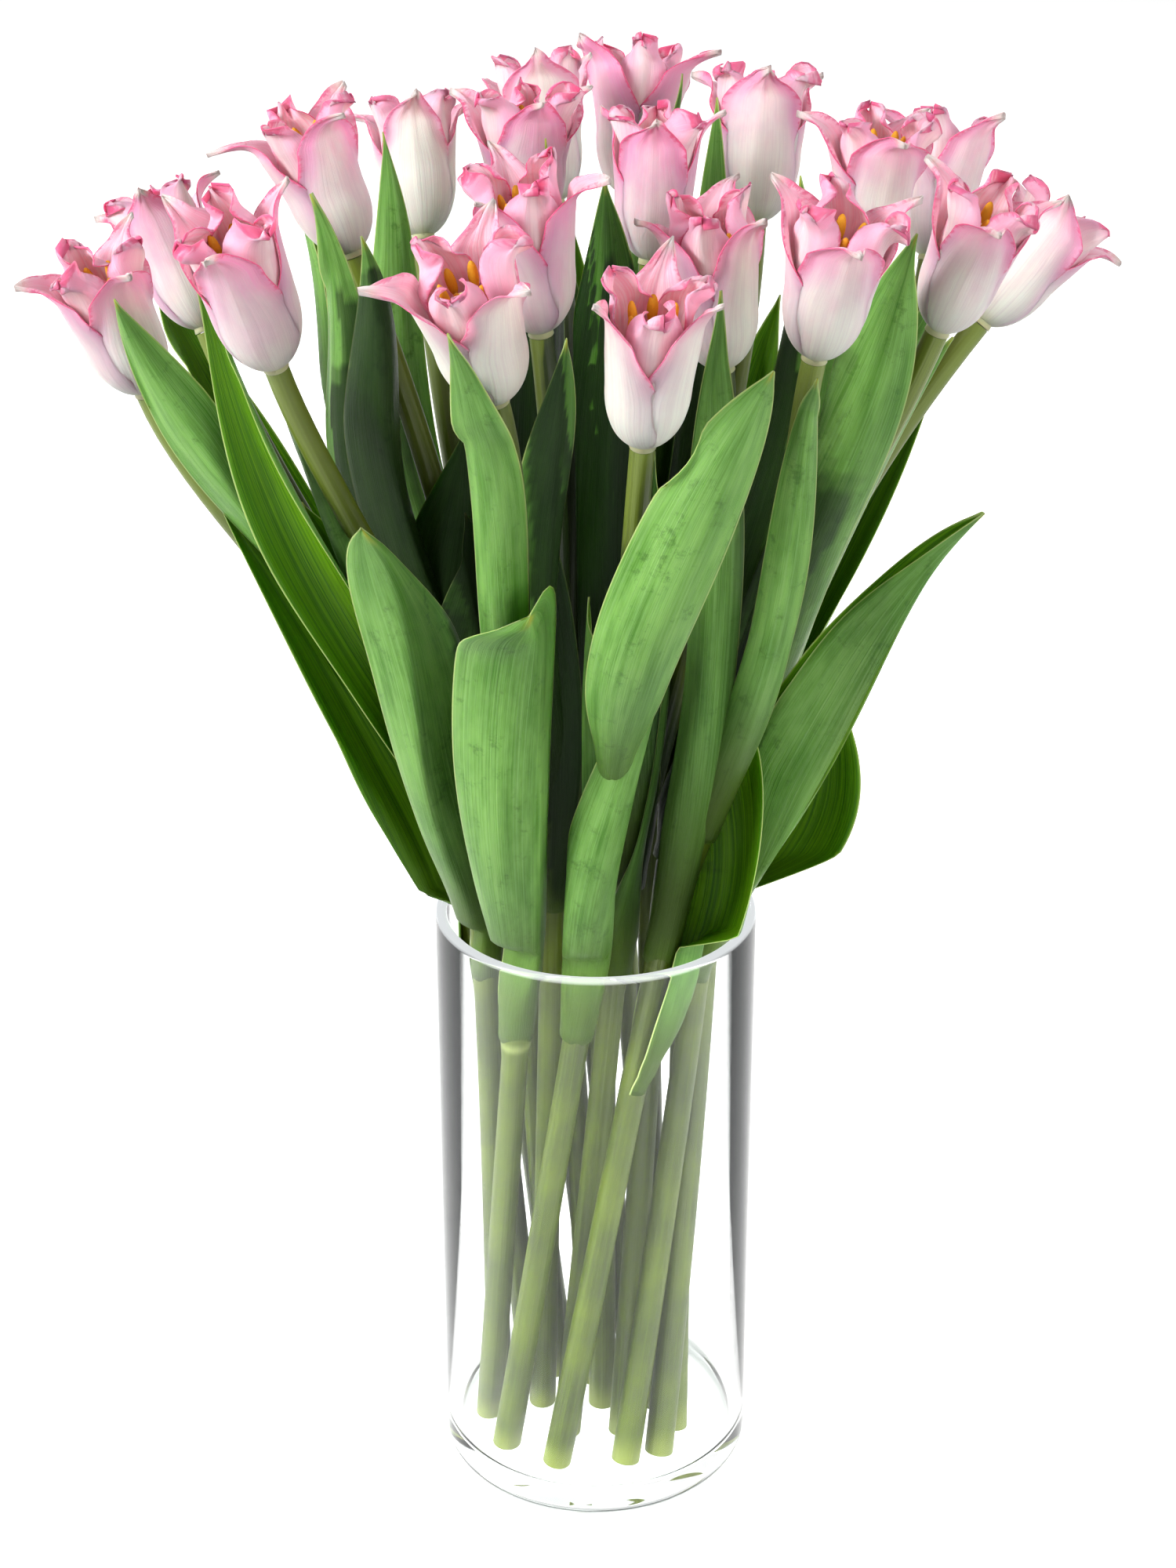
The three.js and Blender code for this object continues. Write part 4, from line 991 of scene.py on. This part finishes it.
def leaf_material():
    shader = Shader("leaf", Subsurface_Weight=0.3, Subsurface_Radius=(0.6, 1, 0.12), Subsurface_Scale=0.002,
                    Specular_IOR_Level=0.2)
    across, along, margin, inside = shader.facts("across", "along", "margin", "inside")
    dice, pale = shader.facts("dice", "pale")
    seed = dice * 53.0
    veins = shader.grain(across, along, seed, streaks=38.0, rows=1.2, detail=4.0, rough=0.7)
    hairs = shader.grain(across, along, seed, streaks=90.0, rows=4.0, detail=2.0, rough=0.5)
    wax = shader.grain(across, along, seed, streaks=2.5, rows=5.0, detail=4.0, rough=0.6)
    rubbed = shader.noise(shader.place(), 130.0, 5.0, 0.75)
    paint = LEAF_COLOURS

    # The outer face is painted paler the further out the leaf stands, a painted shade that darkens the leaves
    # near the middle, and its wax is rubbed off in spots.
    deep = shader.mix(wax.fade(0.3, 0.7), paint.deep, paint.deep_wax)
    light = shader.mix(wax.fade(0.3, 0.7), paint.pale, paint.pale_wax)
    outside = shader.mix(pale, deep, light)
    lines = veins.fade(0.4, 0.68, 0.0, 0.45) * pale.fade(0.0, 1.0, 0.4, 1.0)
    outside = shader.mix(lines, outside, paint.vein)
    outside = shader.mix(hairs.fade(0.5, 0.75, 0.0, 0.3), outside, paint.hair)
    outside = shader.mix(rubbed.fade(0.55, 0.72, 0.0, 0.55), outside, paint.rubbed)

    # The inner face is brighter: its own yellow-green, and painted light that stands for light shining
    # through the leaf. On both, the foot is olive, and the margin and the tip are pale.
    within = shader.mix(veins.fade(0.3, 0.7), paint.lining, paint.lining_vein)
    colour = shader.mix(inside, outside, within)
    # The olive foot is partly the leaf's own colour and partly painted shade that darkens it where it stands
    # in the vase.
    foot = 1 - along.fade(0.08, 0.42)
    colour = shader.mix(foot * 0.95, colour, paint.foot)
    colour = shader.mix((1 - margin.fade(0.1, 0.6)) * 0.8, colour, paint.margin)
    tip = along.fade(0.97, 1.0) * (1 - across.size().fade(0.1, 0.6))
    # Painted shade darkens the leaf where it lies behind other leaves.
    colour = shader.shade(shader.mix(tip, colour, paint.tip))
    rough = veins.fade(0.2, 0.8, 0.3, 0.46)
    relief = veins * 0.5 + hairs * 0.35
    return shader.set(Base_Color=colour, Roughness=rough, Normal=shader.bump(relief, 0.0006, 0.8))


def stem_material():
    shader = Shader("stem", Subsurface_Weight=0.1, Subsurface_Radius=(0.6, 1, 0.25), Subsurface_Scale=0.0012,
                    Roughness=0.42)
    around, along, ring = shader.facts("around", "along", "ring")
    streaks = shader.grain(around, along, 0.0, streaks=30.0, rows=3.0, detail=3.0, rough=0.6)
    clouds = shader.noise(shader.place(), 28.0, 3.0, 0.6)
    paint = STEM_COLOURS
    colour = shader.mix(clouds.fade(0.3, 0.7), paint.dark, paint.olive)
    colour = shader.mix(streaks.fade(0.4, 0.7, 0.0, 0.4), colour, paint.streak)
    colour = shader.mix(along.fade(0.75, 1.0, 0.0, 0.5), colour, paint.top)
    colour = shader.mix(ring.fade(0.6, 1.0, 0.0, 0.6), colour, paint.ring)
    # Painted shade darkens the stem where it lies behind the leaves.
    colour = shader.shade(shader.mix(1 - along.fade(0.0, 0.03), colour, paint.cut))
    return shader.set(Base_Color=colour, Normal=shader.bump(streaks, 0.0003, 0.6))


def heart_material():
    shader = Shader("heart", Roughness=0.7, Subsurface_Weight=0.1, Subsurface_Scale=0.001)
    (part,) = shader.facts("part")
    grains = shader.noise(shader.place(), 1600.0, 2.0, 0.6)
    paint = HEART_COLOURS
    colour = shader.mix(part.fade(0.2, 0.8), paint.thread, paint.pod)
    colour = shader.mix(part.fade(1.2, 1.8), colour, paint.pistil)
    colour = shader.mix(part.fade(2.2, 2.8), colour, paint.lobe)
    return shader.set(Base_Color=colour, Normal=shader.bump(grains, 0.0003, 0.8))


def glass_material():
    """Clear glass, greyer where it bends as painted shade, with painted light: a faint glow all over and a
    bright glowing rim.
    """
    shader = Shader("glass", Transmission_Weight=1.0, Roughness=0.0, IOR=1.33,
                    Specular_Tint=(0.7, 0.7, 0.7, 1), Emission_Strength=1.0)
    bend, rim = shader.facts("bend", "rim")
    # Painted shade: the glass is greyer where it bends.
    tint = shader.mix(bend, GLASS_COLOURS.clear, GLASS_COLOURS.bend)
    # Painted light: a faint glow all over the glass and a bright glow on the rim.
    glow = shader.mix(rim, GLASS_COLOURS.glow, GLASS_COLOURS.rim_glow)
    return shader.set(Base_Color=tint, Emission_Color=glow)


def make_camera():
    camera = bpy.data.cameras.new("camera")
    camera.sensor_width = SENSOR
    camera.lens = SENSOR * FOCAL_PIXELS / PHOTO_HEIGHT
    camera.clip_start = NEAREST
    thing = add_thing("camera", camera)
    thing.location = [value * MM for value in CAMERA_PLACE]
    thing.rotation_euler = (math.radians(90 - CAMERA_DOWN), 0, 0)
    bpy.context.scene.camera = thing


def softbox(name, place, size, power):
    """A square lamp that faces the middle of the bouquet."""
    lamp = bpy.data.lights.new(name, "AREA")
    lamp.size = size
    lamp.energy = power
    thing = add_thing(name, lamp)
    thing.location = place
    away = Vector(LAMPS_FACE) - thing.location
    thing.rotation_euler = away.to_track_quat("-Z", "Y").to_euler()


def stage_piece(name, points, faces, glow, **constants):
    """A white piece of the studio that lends the bouquet's leaves and tepals none of its light."""
    mesh = bpy.data.meshes.new(name)
    mesh.from_pydata(points, [], faces)
    shader = Shader(name, Emission_Color=(1, 1, 1, 1), Emission_Strength=glow,
                    Specular_IOR_Level=STUDIO.shine, **constants)
    mesh.materials.append(shader.material)
    thing = add_thing(name, mesh)
    thing.visible_diffuse = False
    return thing


def make_studio():
    """A white floor in a white room, neither of which lights the bouquet, under a pale sky and four lamps."""
    reach, below = STUDIO.reach, -STUDIO.below
    corners = [(-reach, -reach), (reach, -reach), (reach, reach), (-reach, reach)]
    low = [(x, y, below) for x, y in corners]
    high = [(x, y, reach) for x, y in corners]
    white, black = (0.9, 0.9, 0.9, 1), (0, 0, 0, 1)
    stage_piece("floor", low, [(0, 1, 2, 3)], STUDIO.floor_glow, Roughness=0.9, Base_Color=white)
    walls = [(0, 1, 5, 4), (1, 2, 6, 5), (2, 3, 7, 6), (3, 0, 4, 7), (7, 6, 5, 4)]
    room = stage_piece("backdrop", low + high, walls, 1.0, Base_Color=black)
    room.visible_glossy = False
    room.visible_shadow = False
    world = bpy.data.worlds.new("studio")
    world.use_nodes = True
    sky = world.node_tree.nodes["Background"].inputs
    sky["Color"].default_value = (1, 1, 1, 1)
    sky["Strength"].default_value = STUDIO.sky
    bpy.context.scene.world = world
    for name, (place, size, power) in LAMPS.items():
        softbox(name, place, size, power)
    bpy.context.scene.view_settings.view_transform = "Standard"


def settle(thing, node):
    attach(thing, "root")
    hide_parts(node)


make_camera()
make_studio()
vase = make_vase(glass_material())
vase.visible_shadow = False
settle(vase, "vase")
tepals, leaf_green = tepal_material(), leaf_material()
hearts = heart_tree(heart_material())
stem_sweep = stem_tree(stem_material())
leafy_stems = []
for number, tulip in enumerate(TULIPS, 1):
    leafy_stems.append(make_leafy_stem(number, tulip, stem_sweep, leaf_green))
mark_depth(leafy_stems)
for number, (tulip, leafy_stem) in enumerate(zip(TULIPS, leafy_stems), 1):
    settle(leafy_stem, f"leafy_stem_{number:02d}")
    settle(make_bloom(number, tulip, tepals), f"bloom_{number:02d}")
    settle(make_heart(number, tulip, hearts), f"heart_{number:02d}")
